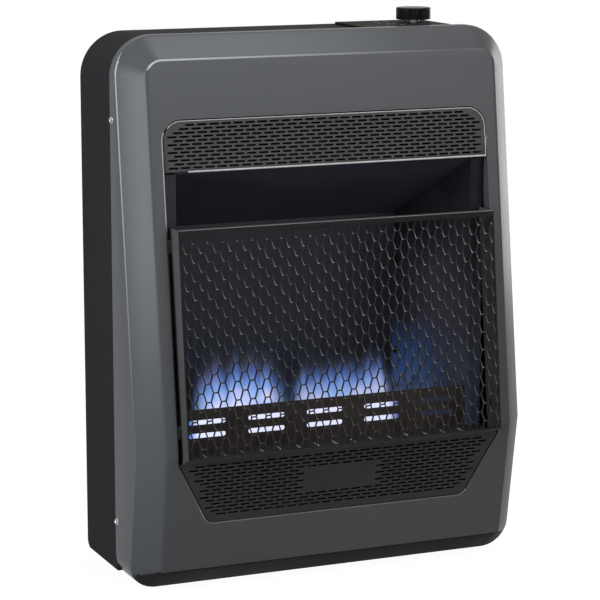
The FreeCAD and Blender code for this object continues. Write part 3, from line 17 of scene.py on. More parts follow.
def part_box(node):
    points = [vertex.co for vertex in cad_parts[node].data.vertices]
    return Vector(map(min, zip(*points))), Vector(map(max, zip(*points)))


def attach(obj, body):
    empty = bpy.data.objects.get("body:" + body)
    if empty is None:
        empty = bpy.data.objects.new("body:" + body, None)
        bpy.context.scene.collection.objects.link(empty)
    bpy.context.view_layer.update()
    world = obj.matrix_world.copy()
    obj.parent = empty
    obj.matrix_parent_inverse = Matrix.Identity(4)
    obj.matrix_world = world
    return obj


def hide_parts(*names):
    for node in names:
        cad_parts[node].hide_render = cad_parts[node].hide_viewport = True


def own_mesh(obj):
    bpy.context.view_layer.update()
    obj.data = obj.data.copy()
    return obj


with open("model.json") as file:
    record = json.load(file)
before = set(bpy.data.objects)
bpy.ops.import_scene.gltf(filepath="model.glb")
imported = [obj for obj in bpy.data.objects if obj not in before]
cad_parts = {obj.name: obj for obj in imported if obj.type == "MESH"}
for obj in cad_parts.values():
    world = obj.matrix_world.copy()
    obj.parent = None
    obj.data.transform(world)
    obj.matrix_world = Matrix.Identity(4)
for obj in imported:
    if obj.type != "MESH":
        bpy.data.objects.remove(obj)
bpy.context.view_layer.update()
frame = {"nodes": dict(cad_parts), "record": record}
nodes = frame["nodes"]
scene = bpy.context.scene
scene.view_settings.view_transform = "Standard"

# %% [markdown]
# The camera stands to the left of the heater and a little above it, far away with a long lens, so the sides
# hardly converge. A camera looks along its own -Z, and to_track_quat turns that axis to the target.

# %% Camera
CAMERA_PLACE = Vector((-1.0897, -2.5230, 0.8207))
CAMERA_TARGET = Vector((-0.00908, 0.0069, 0.3034))
SENSOR_WIDTH = 36.0
LENS_LENGTH = 147.5
camera_data = bpy.data.cameras.new("photo_camera")
camera_data.sensor_width = SENSOR_WIDTH
camera_data.lens = LENS_LENGTH
camera = bpy.data.objects.new("photo_camera", camera_data)
camera.location = CAMERA_PLACE
camera.rotation_euler = (CAMERA_TARGET - CAMERA_PLACE).to_track_quat("-Z", "Y").to_euler()
scene.collection.objects.link(camera)
scene.camera = camera
print("camera distance", round((CAMERA_TARGET - CAMERA_PLACE).length, 3))

# %% [markdown]
# A material is a small network of nodes. These helpers add one node each and hand back its output, so that
# a network can be read as a line of sums. A plain number goes on the socket itself, and another node's output
# is linked to it.

# %% Small helpers for node networks
def feed(tree, item, socket):
    if isinstance(item, bpy.types.NodeSocket):
        tree.links.new(item, socket)
    else:
        socket.default_value = item


def set_plain(shader, values):
    for label, value in values.items():
        shader.inputs[label].default_value = value


def math_node(tree, operation, first, second):
    node = tree.nodes.new("ShaderNodeMath")
    node.operation = operation
    feed(tree, first, node.inputs[0])
    feed(tree, second, node.inputs[1])
    return node.outputs[0]


def vector_node(tree, operation, first, second):
    node = tree.nodes.new("ShaderNodeVectorMath")
    node.operation = operation
    feed(tree, first, node.inputs[0])
    feed(tree, second, node.inputs[1])
    return node


def spread(tree, value, low, high, to_low, to_high):
    """Stretches the range from low to high over the range from to_low to to_high."""
    node = tree.nodes.new("ShaderNodeMapRange")
    for label, item in (("Value", value), ("From Min", low), ("From Max", high), ("To Min", to_low),
                        ("To Max", to_high)):
        feed(tree, item, node.inputs[label])
    return node.outputs["Result"]


def noise(tree, vector, scale, detail):
    node = tree.nodes.new("ShaderNodeTexNoise")
    feed(tree, vector, node.inputs["Vector"])
    feed(tree, scale, node.inputs["Scale"])
    node.inputs["Detail"].default_value = detail
    return node.outputs["Fac"]


def mix_colour(tree, share, first, second):
    node = tree.nodes.new("ShaderNodeMix")
    node.data_type = "RGBA"
    colours = [socket for socket in node.inputs if socket.type == "RGBA"]
    feed(tree, share, node.inputs["Factor"])
    feed(tree, first, colours[0])
    feed(tree, second, colours[1])
    return [socket for socket in node.outputs if socket.type == "RGBA"][0]


def colour_ramp(tree, value, stops):
    node = tree.nodes.new("ShaderNodeValToRGB")
    feed(tree, value, node.inputs["Fac"])
    while len(node.color_ramp.elements) < len(stops):
        node.color_ramp.elements.new(0.5)
    for element, (position, colour) in zip(node.color_ramp.elements, stops):
        element.position = position
        element.color = (*colour, 1.0)
    return node.outputs["Color"]


def attribute(tree, name):
    node = tree.nodes.new("ShaderNodeAttribute")
    node.attribute_name = name
    return node.outputs["Fac"]


def object_place(tree):
    return tree.nodes.new("ShaderNodeTexCoord").outputs["Object"]


def object_axes(tree):
    """The place on the object as three outputs, keyed X, Y and Z."""
    node = tree.nodes.new("ShaderNodeSeparateXYZ")
    feed(tree, object_place(tree), node.inputs["Vector"])
    return node.outputs


def new_material(name):
    material = bpy.data.materials.new(name)
    material.use_nodes = True
    print("material", name)
    return material, material.node_tree, material.node_tree.nodes["Principled BSDF"]


# %% [markdown]
# The studio is a white floor under a white surround. Both look white to the camera and in mirrored rays
# through Light Path, and give the heater only a little light of their own. The floor glows less close to the
# heater, so that the heater's shadow still shows there, and fully further away, where it must not end in a
# grey horizon.

# %% Surround and floor
SURROUND_LIGHT = 0.12
FLOOR_REACH = 6.0
FLOOR_PAINT = 0.12
FLOOR_GLOW_NEAR = 0.95
FLOOR_NEAR = 0.25
FLOOR_FAR = 0.9
WHITE = (1.0, 1.0, 1.0, 1.0)


def seen_white(tree):
    """1 for rays from the camera and for mirrored or refracted ones, 0 for light that only illuminates."""
    path = tree.nodes.new("ShaderNodeLightPath")
    mirrored = math_node(tree, "MAXIMUM", path.outputs["Is Camera Ray"], path.outputs["Is Glossy Ray"])
    return math_node(tree, "MAXIMUM", mirrored, path.outputs["Is Transmission Ray"])


world = bpy.data.worlds.new("studio_surround")
world.use_nodes = True
scene.world = world
background = world.node_tree.nodes["Background"]
background.inputs["Color"].default_value = WHITE
surround_glow = spread(world.node_tree, seen_white(world.node_tree), 0.0, 1.0, SURROUND_LIGHT, 1.0)
feed(world.node_tree, surround_glow, background.inputs["Strength"])

floor_form = bmesh.new()
bmesh.ops.create_grid(floor_form, x_segments=1, y_segments=1, size=FLOOR_REACH)
floor_mesh = bpy.data.meshes.new("studio_floor")
floor_form.to_mesh(floor_mesh)
floor_form.free()
floor = bpy.data.objects.new("studio_floor", floor_mesh)
scene.collection.objects.link(floor)

floor_finish, floor_tree, floor_shader = new_material("studio_floor_white")
set_plain(floor_shader, {"Base Color": (FLOOR_PAINT, FLOOR_PAINT, FLOOR_PAINT, 1.0), "Roughness": 0.9,
                         "Specular IOR Level": 0.0, "Emission Color": WHITE})
from_middle = vector_node(floor_tree, "LENGTH", object_place(floor_tree), (0.0, 0.0, 0.0)).outputs["Value"]
floor_glow = spread(floor_tree, from_middle, FLOOR_NEAR, FLOOR_FAR, FLOOR_GLOW_NEAR, 1.0)
feed(floor_tree, math_node(floor_tree, "MULTIPLY", floor_glow, seen_white(floor_tree)),
     floor_shader.inputs["Emission Strength"])
floor_mesh.materials.append(floor_finish)
print("floor glow from", FLOOR_GLOW_NEAR, "to 1 at", FLOOR_FAR, "m")

# %% [markdown]
# Five soft boxes light the heater. Four of them stand where the slanted borders of the cover and its upper
# left corner mirror them to the camera: to the left, above on the left, above, and level on the right. So the
# borders gleam and the flat front stays quieter. A bigger box gives a softer edge to its shadow and its
# highlight.

# %% Soft boxes
def soft_box(name, place, target, size, power, colour):
    lamp_data = bpy.data.lights.new(name, "AREA")
    lamp_data.shape = "RECTANGLE"
    lamp_data.size, lamp_data.size_y = size
    lamp_data.energy = power
    lamp_data.color = colour
    lamp = bpy.data.objects.new(name, lamp_data)
    lamp.location = place
    lamp.rotation_euler = (Vector(target) - Vector(place)).to_track_quat("-Z", "Y").to_euler()
    scene.collection.objects.link(lamp)


soft_box("left_soft_box", place=(-2.2, -0.75, 0.6), target=(0.0, 0.0, 0.35), size=(0.55, 1.7), power=35.0,
         colour=(0.93, 0.97, 1.0))
soft_box("upper_left_soft_box", place=(-1.15, -0.9, 2.1), target=(0.0, 0.0, 0.5), size=(0.8, 0.8), power=7.5,
         colour=(0.95, 0.98, 1.0))
soft_box("right_soft_box", place=(1.95, 0.85, 0.5), target=(0.2, 0.0, 0.45), size=(0.9, 1.2), power=15.0,
         colour=(1.0, 1.0, 1.0))
soft_box("top_soft_box", place=(0.42, 0.05, 2.3), target=(0.0, 0.0, 0.5), size=(0.9, 0.8), power=12.0,
         colour=(1.0, 1.0, 1.0))
soft_box("front_soft_box", place=(1.2, -2.8, 1.55), target=(0.0, 0.0, 0.45), size=(2.4, 1.6), power=32.0,
         colour=(1.0, 0.99, 0.97))

# %% [markdown]
# Painted and bare metal share a few effects, so each is one node group. "finish_grain" lays soft clouds and
# a fine grain over a pair of colours and a pair of roughness values. "drawn_marks" makes the long faint
# scratches of rolled sheet. "edge_shine" compares the true normal with one rounded by the Bevel node: where
# they differ there is an edge. Its mask makes the colour brighter there, partly for thinner paint on an edge
# and partly as a painted highlight of the round on it. Groups put out only colours, masks, values and
# normals, and each material keeps its own shader.

# %% Shared effects
def make_group(name, inputs, outputs):
    group = bpy.data.node_groups.new(name, "ShaderNodeTree")
    for label, kind, value in inputs:
        socket = group.interface.new_socket(label, in_out="INPUT", socket_type=kind)
        if value is not None:
            socket.default_value = value
    for label, kind in outputs:
        group.interface.new_socket(label, in_out="OUTPUT", socket_type=kind)
    source = group.nodes.new("NodeGroupInput")
    sink = group.nodes.new("NodeGroupOutput")
    return group, source.outputs, sink.inputs


grain_group, grain_in, grain_out = make_group(
    "finish_grain",
    [("Vector", "NodeSocketVector", None), ("Dark", "NodeSocketColor", (0.1, 0.1, 0.1, 1.0)),
     ("Light", "NodeSocketColor", (0.2, 0.2, 0.2, 1.0)), ("Smooth", "NodeSocketFloat", 0.3),
     ("Rough", "NodeSocketFloat", 0.5), ("Cloud Scale", "NodeSocketFloat", 9.0),
     ("Grain Scale", "NodeSocketFloat", 900.0)],
    [("Colour", "NodeSocketColor"), ("Roughness", "NodeSocketFloat"), ("Height", "NodeSocketFloat")])
cloud = noise(grain_group, grain_in["Vector"], grain_in["Cloud Scale"], 4.0)
grain = noise(grain_group, grain_in["Vector"], grain_in["Grain Scale"], 2.0)
cloud_share = spread(grain_group, cloud, 0.3, 0.7, 0.0, 0.65)
grain_share = spread(grain_group, grain, 0.3, 0.7, 0.0, 0.35)
both_share = math_node(grain_group, "ADD", cloud_share, grain_share)
feed(grain_group, mix_colour(grain_group, both_share, grain_in["Dark"], grain_in["Light"]),
     grain_out["Colour"])
feed(grain_group, spread(grain_group, cloud, 0.3, 0.7, grain_in["Smooth"], grain_in["Rough"]),
     grain_out["Roughness"])
feed(grain_group, grain, grain_out["Height"])

drawn_group, drawn_in, drawn_out = make_group(
    "drawn_marks",
    [("Vector", "NodeSocketVector", None), ("Stretch", "NodeSocketVector", (1.0, 1.0, 1.0)),
     ("Scale", "NodeSocketFloat", 300.0)],
    [("Mask", "NodeSocketFloat")])
stretched = vector_node(drawn_group, "MULTIPLY", drawn_in["Vector"], drawn_in["Stretch"]).outputs[0]
feed(drawn_group, noise(drawn_group, stretched, drawn_in["Scale"], 3.0), drawn_out["Mask"])

edge_group, edge_in, edge_out = make_group(
    "edge_shine", [("Radius", "NodeSocketFloat", 0.0008)],
    [("Mask", "NodeSocketFloat"), ("Normal", "NodeSocketVector")])
rounded = edge_group.nodes.new("ShaderNodeBevel")
rounded.samples = 6
feed(edge_group, edge_in["Radius"], rounded.inputs["Radius"])
true_normal = edge_group.nodes.new("ShaderNodeNewGeometry").outputs["Normal"]
likeness = vector_node(edge_group, "DOT_PRODUCT", rounded.outputs["Normal"], true_normal).outputs["Value"]
feed(edge_group, spread(edge_group, likeness, 0.999, 0.9, 0.0, 1.0), edge_out["Mask"])
feed(edge_group, rounded.outputs["Normal"], edge_out["Normal"])
print("node groups", [group.name for group in bpy.data.node_groups])

# %% [markdown]
# Most of the heater's finishes are one recipe with other numbers: a pair of near colours, a pair of roughness
# values, how metallic and how glossy it is, how fine its clouds and its grain are and how bright its edges
# are. Each finish becomes a material of its own, and a dictionary keyed by the model's own slot names hands
# it to every piece.

# %% The recipe for a finish
EDGE_GAIN = 2.2
EDGE_LIFT = 0.05
MARK_SCALE = 420.0
MARK_SHARE = 0.3
RELIEF_DEPTH = 0.0002
COAT_ROUGHNESS = 0.12


def place_group(tree, group, values):
    node = tree.nodes.new("ShaderNodeGroup")
    node.node_tree = group
    for label, item in values.items():
        feed(tree, item, node.inputs[label])
    return node.outputs


def make_finish(name, dark, light, roughness, metallic, gloss, clouds, grain_scale, bump, edge, edge_radius,
                coat=0.0, marks=None):
    material, tree, shader = new_material(name)
    where = object_place(tree)
    grained = place_group(tree, grain_group, {
        "Vector": where, "Dark": (*dark, 1.0), "Light": (*light, 1.0), "Smooth": roughness[0],
        "Rough": roughness[1], "Cloud Scale": clouds, "Grain Scale": grain_scale})
    edged = place_group(tree, edge_group, {"Radius": edge_radius})
    # The bright edge colour is partly thinner paint and partly a painted highlight on the edge.
    bright = (*(min(1.0, part * EDGE_GAIN + EDGE_LIFT) for part in light), 1.0)
    edge_share = spread(tree, edged["Mask"], 0.0, 1.0, 0.0, edge)
    colour = mix_colour(tree, edge_share, grained["Colour"], bright)
    height = grained["Height"]
    if marks is not None:
        drawn = place_group(tree, drawn_group, {
            "Vector": where, "Stretch": marks, "Scale": MARK_SCALE})["Mask"]
        colour = mix_colour(tree, spread(tree, drawn, 0.35, 0.65, 0.0, MARK_SHARE), colour, bright)
        height = math_node(tree, "ADD", height, drawn)
    relief = tree.nodes.new("ShaderNodeBump")
    relief.inputs["Strength"].default_value = bump
    relief.inputs["Distance"].default_value = RELIEF_DEPTH
    feed(tree, height, relief.inputs["Height"])
    feed(tree, edged["Normal"], relief.inputs["Normal"])
    feed(tree, colour, shader.inputs["Base Color"])
    feed(tree, grained["Roughness"], shader.inputs["Roughness"])
    feed(tree, relief.outputs["Normal"], shader.inputs["Normal"])
    set_plain(shader, {"Metallic": metallic, "Specular IOR Level": gloss, "Coat Weight": coat,
                       "Coat Roughness": COAT_ROUGHNESS})
    return material


# %% [markdown]
# The outside is painted sheet: a charcoal paint with a little metal flake on the cover, satin black on the
# case and dark grey on the grilles and the guard. The paint's gloss is low, because the photograph shows
# soft, wide lights on it and no mirror images.

# %% Painted outside
finishes = {}
finishes["cover_paint"] = make_finish(
    "charcoal_cover_paint", dark=(0.09, 0.094, 0.1), light=(0.106, 0.11, 0.117), roughness=(0.28, 0.36),
    metallic=0.2, gloss=0.02, clouds=7.0, grain_scale=1600.0, bump=0.05, edge=0.3, edge_radius=0.0006)
# Darker paint for the cover's downward faces: painted shade, where little light comes from below.
underside_paint = make_finish(
    "painted_shade_underside", dark=(0.026, 0.026, 0.027), light=(0.045, 0.045, 0.046), roughness=(0.5, 0.65),
    metallic=0.0, gloss=0.02, clouds=9.0, grain_scale=1600.0, bump=0.05, edge=0.1, edge_radius=0.0006)
finishes["case_paint"] = make_finish(
    "black_case_paint", dark=(0.028, 0.028, 0.029), light=(0.042, 0.042, 0.043), roughness=(0.42, 0.52),
    metallic=0.0, gloss=0.001, clouds=6.0, grain_scale=1300.0, bump=0.06, edge=0.15, edge_radius=0.0006)
finishes["grille_paint"] = make_finish(
    "dark_grille_paint", dark=(0.046, 0.046, 0.0465), light=(0.062, 0.062, 0.0625), roughness=(0.38, 0.48),
    metallic=0.1, gloss=0.04, clouds=12.0, grain_scale=1500.0, bump=0.05, edge=0.25, edge_radius=0.0004)
finishes["guard_steel"] = make_finish(
    "guard_sheet_paint", dark=(0.09, 0.09, 0.0905), light=(0.125, 0.1245, 0.124), roughness=(0.34, 0.44),
    metallic=0.1, gloss=0.04, clouds=14.0, grain_scale=1500.0, bump=0.05, edge=0.25, edge_radius=0.0004)
# The upper grille has the grilles' paint made lighter: painted light, since it faces up into the lamps.
lit_upper_grille_paint = make_finish(
    "lit_upper_grille_paint", dark=(0.075, 0.075, 0.077), light=(0.1, 0.1, 0.103), roughness=(0.38, 0.48),
    metallic=0.1, gloss=0.04, clouds=12.0, grain_scale=1500.0, bump=0.05, edge=0.25, edge_radius=0.0004)

# %% [markdown]
# Inside the opening everything is darker: blue-black enamel on the firebox, a heat-browned shield in front
# of the burner, and the burner's own dulled steel. They follow the same recipe, with a coarser grain.

# %% Firebox finishes
finishes["firebox_enamel"] = make_finish(
    "firebox_dark_enamel", dark=(0.024, 0.026, 0.036), light=(0.036, 0.039, 0.054), roughness=(0.32, 0.45),
    metallic=0.0, gloss=0.2, clouds=11.0, grain_scale=900.0, bump=0.08, edge=0.35, edge_radius=0.0007)
# A lighter copy of the firebox enamel for the hood: painted light, for the light the hood catches.
lit_hood_enamel = make_finish(
    "hood_enamel_painted_light", dark=(0.056, 0.06, 0.078), light=(0.078, 0.084, 0.108), roughness=(0.32, 0.45),
    metallic=0.0, gloss=0.1, clouds=11.0, grain_scale=900.0, bump=0.08, edge=0.3, edge_radius=0.0007)
finishes["shield_steel"] = make_finish(
    "browned_shield_steel", dark=(0.036, 0.029, 0.027), light=(0.08, 0.066, 0.062), roughness=(0.5, 0.65),
    metallic=0.2, gloss=0.1, clouds=30.0, grain_scale=700.0, bump=0.15, edge=0.25, edge_radius=0.0005)
finishes["burner_steel"] = make_finish(
    "dulled_burner_steel", dark=(0.12, 0.105, 0.1), light=(0.24, 0.22, 0.21), roughness=(0.4, 0.6),
    metallic=0.85, gloss=0.4, clouds=32.0, grain_scale=700.0, bump=0.12, edge=0.2, edge_radius=0.0005,
    marks=(0.03, 1.0, 1.0))

# %% [markdown]
# The right wall of the firebox catches the blue of the fire, and that light is painted on it. Its colour is a
# bluish grey low down and black higher up: a painted reflection of the fire. Near the flames and low down it
# also glows blue: a painted glow, following the height and the depth of the place. A lamp in the firebox
# could give the blue, but it would light every other wall as well.

# %% Enamel that the fire lights
PAINTED_SHEEN_LOW, PAINTED_SHEEN_HIGH = 0.19, 0.42
PAINTED_SHEEN_DRIFT = 0.02
FIRE_FRONT, FIRE_BACK = -0.02, 0.05
FIRE_LOW, FIRE_HIGH = 0.2, 0.27
BLACK = (0.0, 0.0, 0.0, 1.0)
fire_lit_enamel, lit_tree, lit_shader = new_material("fire_lit_enamel")
lit_axes = object_axes(lit_tree)
lit_cloud = noise(lit_tree, object_place(lit_tree), 14.0, 3.0)
lit_drift = spread(lit_tree, lit_cloud, 0.3, 0.7, -PAINTED_SHEEN_DRIFT, PAINTED_SHEEN_DRIFT)
lit_height = math_node(lit_tree, "ADD", lit_axes["Z"], lit_drift)
# Painted reflection of the fire: bluish grey low down, black higher up.
lit_enamel = colour_ramp(lit_tree, spread(lit_tree, lit_height, PAINTED_SHEEN_LOW, PAINTED_SHEEN_HIGH, 0.0, 1.0), [
    (0.0, (0.09, 0.11, 0.17)), (0.45, (0.085, 0.08, 0.105)), (0.8, (0.03, 0.028, 0.035)),
    (1.0, (0.012, 0.012, 0.015))])
# Painted blue glow of the fire, near the flames and low down.
near_fire = spread(lit_tree, lit_axes["Y"], FIRE_FRONT, FIRE_BACK, 0.0, 1.0)
low_down = spread(lit_tree, lit_height, FIRE_LOW, FIRE_HIGH, 1.0, 0.0)
painted_glow_share = math_node(lit_tree, "MULTIPLY", near_fire, low_down)
feed(lit_tree, lit_enamel, lit_shader.inputs["Base Color"])
feed(lit_tree, mix_colour(lit_tree, painted_glow_share, BLACK, (0.008, 0.027, 0.09, 1.0)),
     lit_shader.inputs["Emission Color"])
set_plain(lit_shader, {"Emission Strength": 1.0, "Roughness": 0.45, "Specular IOR Level": 0.1})

# %% [markdown]
# The gas parts inside are bare metal: zinc-plated brackets, brass fittings and cast aluminium. Rolled and
# turned pieces get drawn marks along the way they were worked. The rest is rubber, plastic and glazed
# ceramic.

# %% Bare metal, rubber, plastic and ceramic
finishes["plain_steel"] = make_finish(
    "zinc_plated_sheet", dark=(0.42, 0.42, 0.43), light=(0.58, 0.58, 0.58), roughness=(0.28, 0.45),
    metallic=0.9, gloss=0.5, clouds=26.0, grain_scale=800.0, bump=0.06, edge=0.3, edge_radius=0.0005,
    marks=(0.04, 0.04, 1.0))
finishes["screw_steel"] = make_finish(
    "bright_screw_plating", dark=(0.32, 0.32, 0.325), light=(0.45, 0.45, 0.455), roughness=(0.2, 0.32),
    metallic=1.0, gloss=0.5, clouds=300.0, grain_scale=2000.0, bump=0.05, edge=0.4, edge_radius=0.0003)
finishes["brass_fitting"] = make_finish(
    "machined_brass", dark=(0.5, 0.34, 0.12), light=(0.7, 0.52, 0.22), roughness=(0.2, 0.36),
    metallic=1.0, gloss=0.5, clouds=60.0, grain_scale=1500.0, bump=0.06, edge=0.3, edge_radius=0.0004,
    marks=(1.0, 0.1, 0.1))
finishes["gas_aluminium"] = make_finish(
    "cast_and_drawn_aluminium", dark=(0.5, 0.5, 0.51), light=(0.68, 0.68, 0.69), roughness=(0.32, 0.5),
    metallic=0.95, gloss=0.5, clouds=40.0, grain_scale=900.0, bump=0.12, edge=0.25, edge_radius=0.0005)
finishes["foot_rubber"] = make_finish(
    "moulded_foot_rubber", dark=(0.012, 0.012, 0.012), light=(0.024, 0.024, 0.024), roughness=(0.7, 0.85),
    metallic=0.0, gloss=0.3, clouds=40.0, grain_scale=1200.0, bump=0.25, edge=0.1, edge_radius=0.0006)
finishes["knob_plastic"] = make_finish(
    "black_knob_moulding", dark=(0.014, 0.014, 0.0155), light=(0.022, 0.022, 0.024), roughness=(0.22, 0.32),
    metallic=0.0, gloss=0.018, clouds=60.0, grain_scale=1800.0, bump=0.08, edge=0.2, edge_radius=0.0005)
finishes["plate_plastic"] = make_finish(
    "black_plate_moulding", dark=(0.018, 0.016, 0.014), light=(0.027, 0.0245, 0.022), roughness=(0.35, 0.46),
    metallic=0.0, gloss=0.001, clouds=40.0, grain_scale=1600.0, bump=0.12, edge=0.2, edge_radius=0.0004)
finishes["lead_sleeve"] = make_finish(
    "black_lead_sleeve", dark=(0.015, 0.015, 0.015), light=(0.03, 0.03, 0.03), roughness=(0.5, 0.65),
    metallic=0.0, gloss=0.3, clouds=90.0, grain_scale=1800.0, bump=0.2, edge=0.0, edge_radius=0.0003)
finishes["ceramic"] = make_finish(
    "glazed_electrode_ceramic", dark=(0.72, 0.7, 0.64), light=(0.84, 0.82, 0.77), roughness=(0.12, 0.22),
    metallic=0.0, gloss=0.5, clouds=90.0, grain_scale=1400.0, bump=0.04, edge=0.1, edge_radius=0.0004,
    coat=0.4)

# %% [markdown]
# Deep inside, little light reaches the gas parts, so a dark twin of three bare finishes, a painted shade,
# goes on every piece but those at the knob and the inlet. Soot lies on the pilot. A thin bright line along an
# edge is a painted highlight, and a narrow gap a nearly black painted shadow, so both have a finish too. Then
# every piece gets the finish of its slot, unless it has one of its own.

# %% Painted shade, soot, edge lights and a finish for each piece
# Dark twins of three bare finishes: painted shade for the parts deep inside the case.
shaded_inside = {
    "plain_steel": make_finish(
        "shaded_inside_zinc", dark=(0.05, 0.05, 0.051), light=(0.09, 0.09, 0.09), roughness=(0.5, 0.65),
        metallic=0.3, gloss=0.05, clouds=26.0, grain_scale=800.0, bump=0.06, edge=0.1, edge_radius=0.0005),
    "brass_fitting": make_finish(
        "shaded_inside_brass", dark=(0.06, 0.043, 0.02), light=(0.11, 0.08, 0.035), roughness=(0.45, 0.6),
        metallic=0.3, gloss=0.05, clouds=60.0, grain_scale=1500.0, bump=0.06, edge=0.1, edge_radius=0.0004),
    "gas_aluminium": make_finish(
        "shaded_inside_aluminium", dark=(0.06, 0.06, 0.061), light=(0.1, 0.1, 0.101), roughness=(0.5, 0.65),
        metallic=0.3, gloss=0.05, clouds=40.0, grain_scale=900.0, bump=0.12, edge=0.1, edge_radius=0.0005),
}
sooted_pilot = make_finish(
    "sooted_pilot_metal", dark=(0.008, 0.008, 0.009), light=(0.03, 0.029, 0.028), roughness=(0.6, 0.8),
    metallic=0.3, gloss=0.15, clouds=60.0, grain_scale=900.0, bump=0.2, edge=0.15, edge_radius=0.0004)
# A near-white finish for thin bright lines along edges: a painted highlight.
edge_highlight = make_finish(
    "painted_bright_edge_highlight", dark=(0.42, 0.42, 0.425), light=(0.58, 0.58, 0.585), roughness=(0.28, 0.4),
    metallic=0.3, gloss=0.2, clouds=50.0, grain_scale=1500.0, bump=0.05, edge=0.0, edge_radius=0.0002)
# A nearly black finish for narrow gaps: a painted shadow.
gap_shadow = make_finish(
    "shaded_edge_gap", dark=(0.004, 0.004, 0.0045), light=(0.008, 0.008, 0.0085), roughness=(0.6, 0.75),
    metallic=0.0, gloss=0.002, clouds=50.0, grain_scale=1500.0, bump=0.05, edge=0.0, edge_radius=0.0002)

OUT_OF_SHADE = ("inlet_fitting", "valve_stem", "knob_spring", "valve_nut")
SOOTED = ("pilot_bracket", "pilot_burner", "thermocouple", "electrode_insulator", "spark_electrode",
          "firebox_screws")
own_finish = dict.fromkeys(SOOTED, sooted_pilot)
own_finish["firebox_hood"] = lit_hood_enamel
own_finish["firebox_side_right"] = fire_lit_enamel
for entry in frame["record"]["subparts"]:
    node_name, slot_name = entry["node"], entry["material_slot"]
    finish = finishes[slot_name]
    if slot_name in shaded_inside and node_name not in OUT_OF_SHADE:
        finish = shaded_inside[slot_name]
    mesh = nodes[node_name].data
    mesh.materials.clear()
    mesh.materials.append(own_finish.get(node_name, finish))
print("finishes", len(finishes), "on", len(nodes), "pieces")

# %% [markdown]
# The front cover is one pressed sheet. In the solid model its folds are sharp lines, but a press leaves a
# small round on each. The quickest honest way is a merged copy of the solid's mesh with its convex folds
# bevelled: the shape stays the same and only the edges change. Where an edge shows a thin bright line, a thin
# round bead along the edge carries a painted highlight. One helper puts the edges in order, and another
# sets a circle at each place and bridges the circles.

# %% Helpers for pieces made from a solid's copy
SAME_PLACE = 0.00001
SAME_PLANE = math.radians(0.4)
BEAD_SIDES = 8


def merged_copy(node_name, flatten=True):
    form = bmesh.new()
    form.from_mesh(nodes[node_name].data)
    bmesh.ops.remove_doubles(form, verts=form.verts, dist=SAME_PLACE)
    if flatten:
        bmesh.ops.dissolve_limit(form, angle_limit=SAME_PLANE, verts=form.verts, edges=form.edges)
    return form


def folds(form, least, most):
    """Convex edges whose two faces meet at an angle between least and most degrees."""
    paired = [edge for edge in form.edges if len(edge.link_faces) == 2]
    return [edge for edge in paired if least < math.degrees(edge.calc_face_angle_signed(0.0)) < most]


def round_edges(form, edges, width, segments, clamp=True):
    made = bmesh.ops.bevel(form, geom=edges, offset=width, offset_type="OFFSET", segments=segments,
                           profile=0.5, affect="EDGES", material=-1, clamp_overlap=clamp)
    form.normal_update()
    return made["faces"]


def runs(edges):
    """Sorts edges into runs, each a list of places in order."""
    links = {}
    for edge in edges:
        for point in edge.verts:
            links.setdefault(point, []).append(edge)
    used, found = set(), []
    for start in sorted(links, key=lambda point: len(links[point])):
        places, point = [start.co.copy()], start
        fresh = [edge for edge in links[point] if edge not in used]
        while fresh:
            used.add(fresh[0])
            point = fresh[0].other_vert(point)
            places.append(point.co.copy())
            fresh = [edge for edge in links[point] if edge not in used]
        if len(places) > 1:
            found.append(places)
    return found


def bead(form, places, radius, aside):
    """A thin round bar through the places. It runs nowhere along the direction aside."""
    last = len(places) - 1
    rings = []
    for index, place in enumerate(places):
        along = (places[min(index + 1, last)] - places[max(index - 1, 0)]).normalized()
        across = along.cross(aside).normalized()
        turn = Matrix((across, along.cross(across), along)).transposed().to_4x4()
        ring = bmesh.ops.create_circle(form, cap_ends=index in (0, last), segments=BEAD_SIDES, radius=radius,
                                       matrix=Matrix.Translation(place) @ turn)
        rings.append(list(dict.fromkeys(edge for point in ring["verts"] for edge in point.link_edges)))
    for first, second in zip(rings, rings[1:]):
        bmesh.ops.bridge_loops(form, edges=first + second)
    bmesh.ops.recalc_face_normals(form, faces=form.faces)


def finished_piece(form, name, body, *materials, sharp=30.0):
    """Makes a piece of a form. A face's material index picks one of the materials."""
    mesh = bpy.data.meshes.new(name)
    form.to_mesh(mesh)
    form.free()
    for face in mesh.polygons:
        face.use_smooth = True
    mesh.set_sharp_from_angle(angle=math.radians(sharp))
    for material in materials:
        mesh.materials.append(material)
    piece = bpy.data.objects.new(name, mesh)
    scene.collection.objects.link(piece)
    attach(piece, body)
    print(name, len(mesh.polygons), "faces")
    return piece


# %% [markdown]
# On the cover's rounded folds a painted highlight stands for the light they catch: along the left border and
# the inner fold of the top. The painted highlight fades further down and to the right. The edge of the
# opening has a painted highlight high up on the left and at the lower corner, and painted shade between. Both
# finishes read the place on the cover, so no picture has to be painted for them.

# %% Painted highlights on the folds and the opening
# Painted highlight on the folds, brightest high up on the left.
CREASE_LIGHT_LOW, CREASE_LIGHT_HIGH = 0.2, 0.58
CREASE_LIGHT_LEFT, CREASE_LIGHT_RIGHT = -0.22, 0.14
crease_highlight_finish, crease_tree, crease_shader = new_material("painted_crease_highlight")
crease_axes = object_axes(crease_tree)
crease_height = spread(crease_tree, crease_axes["Z"], CREASE_LIGHT_LOW, CREASE_LIGHT_HIGH, 0.0, 1.0)
crease_across = spread(crease_tree, crease_axes["X"], CREASE_LIGHT_LEFT, CREASE_LIGHT_RIGHT, 1.0, 0.0)
crease_share = math_node(crease_tree, "MULTIPLY", crease_height, crease_across)
feed(crease_tree, mix_colour(crease_tree, crease_share, (0.14, 0.144, 0.15, 1.0), (0.55, 0.56, 0.58, 1.0)),
     crease_shader.inputs["Base Color"])
set_plain(crease_shader, {"Roughness": 0.34, "Metallic": 0.2, "Specular IOR Level": 0.05})

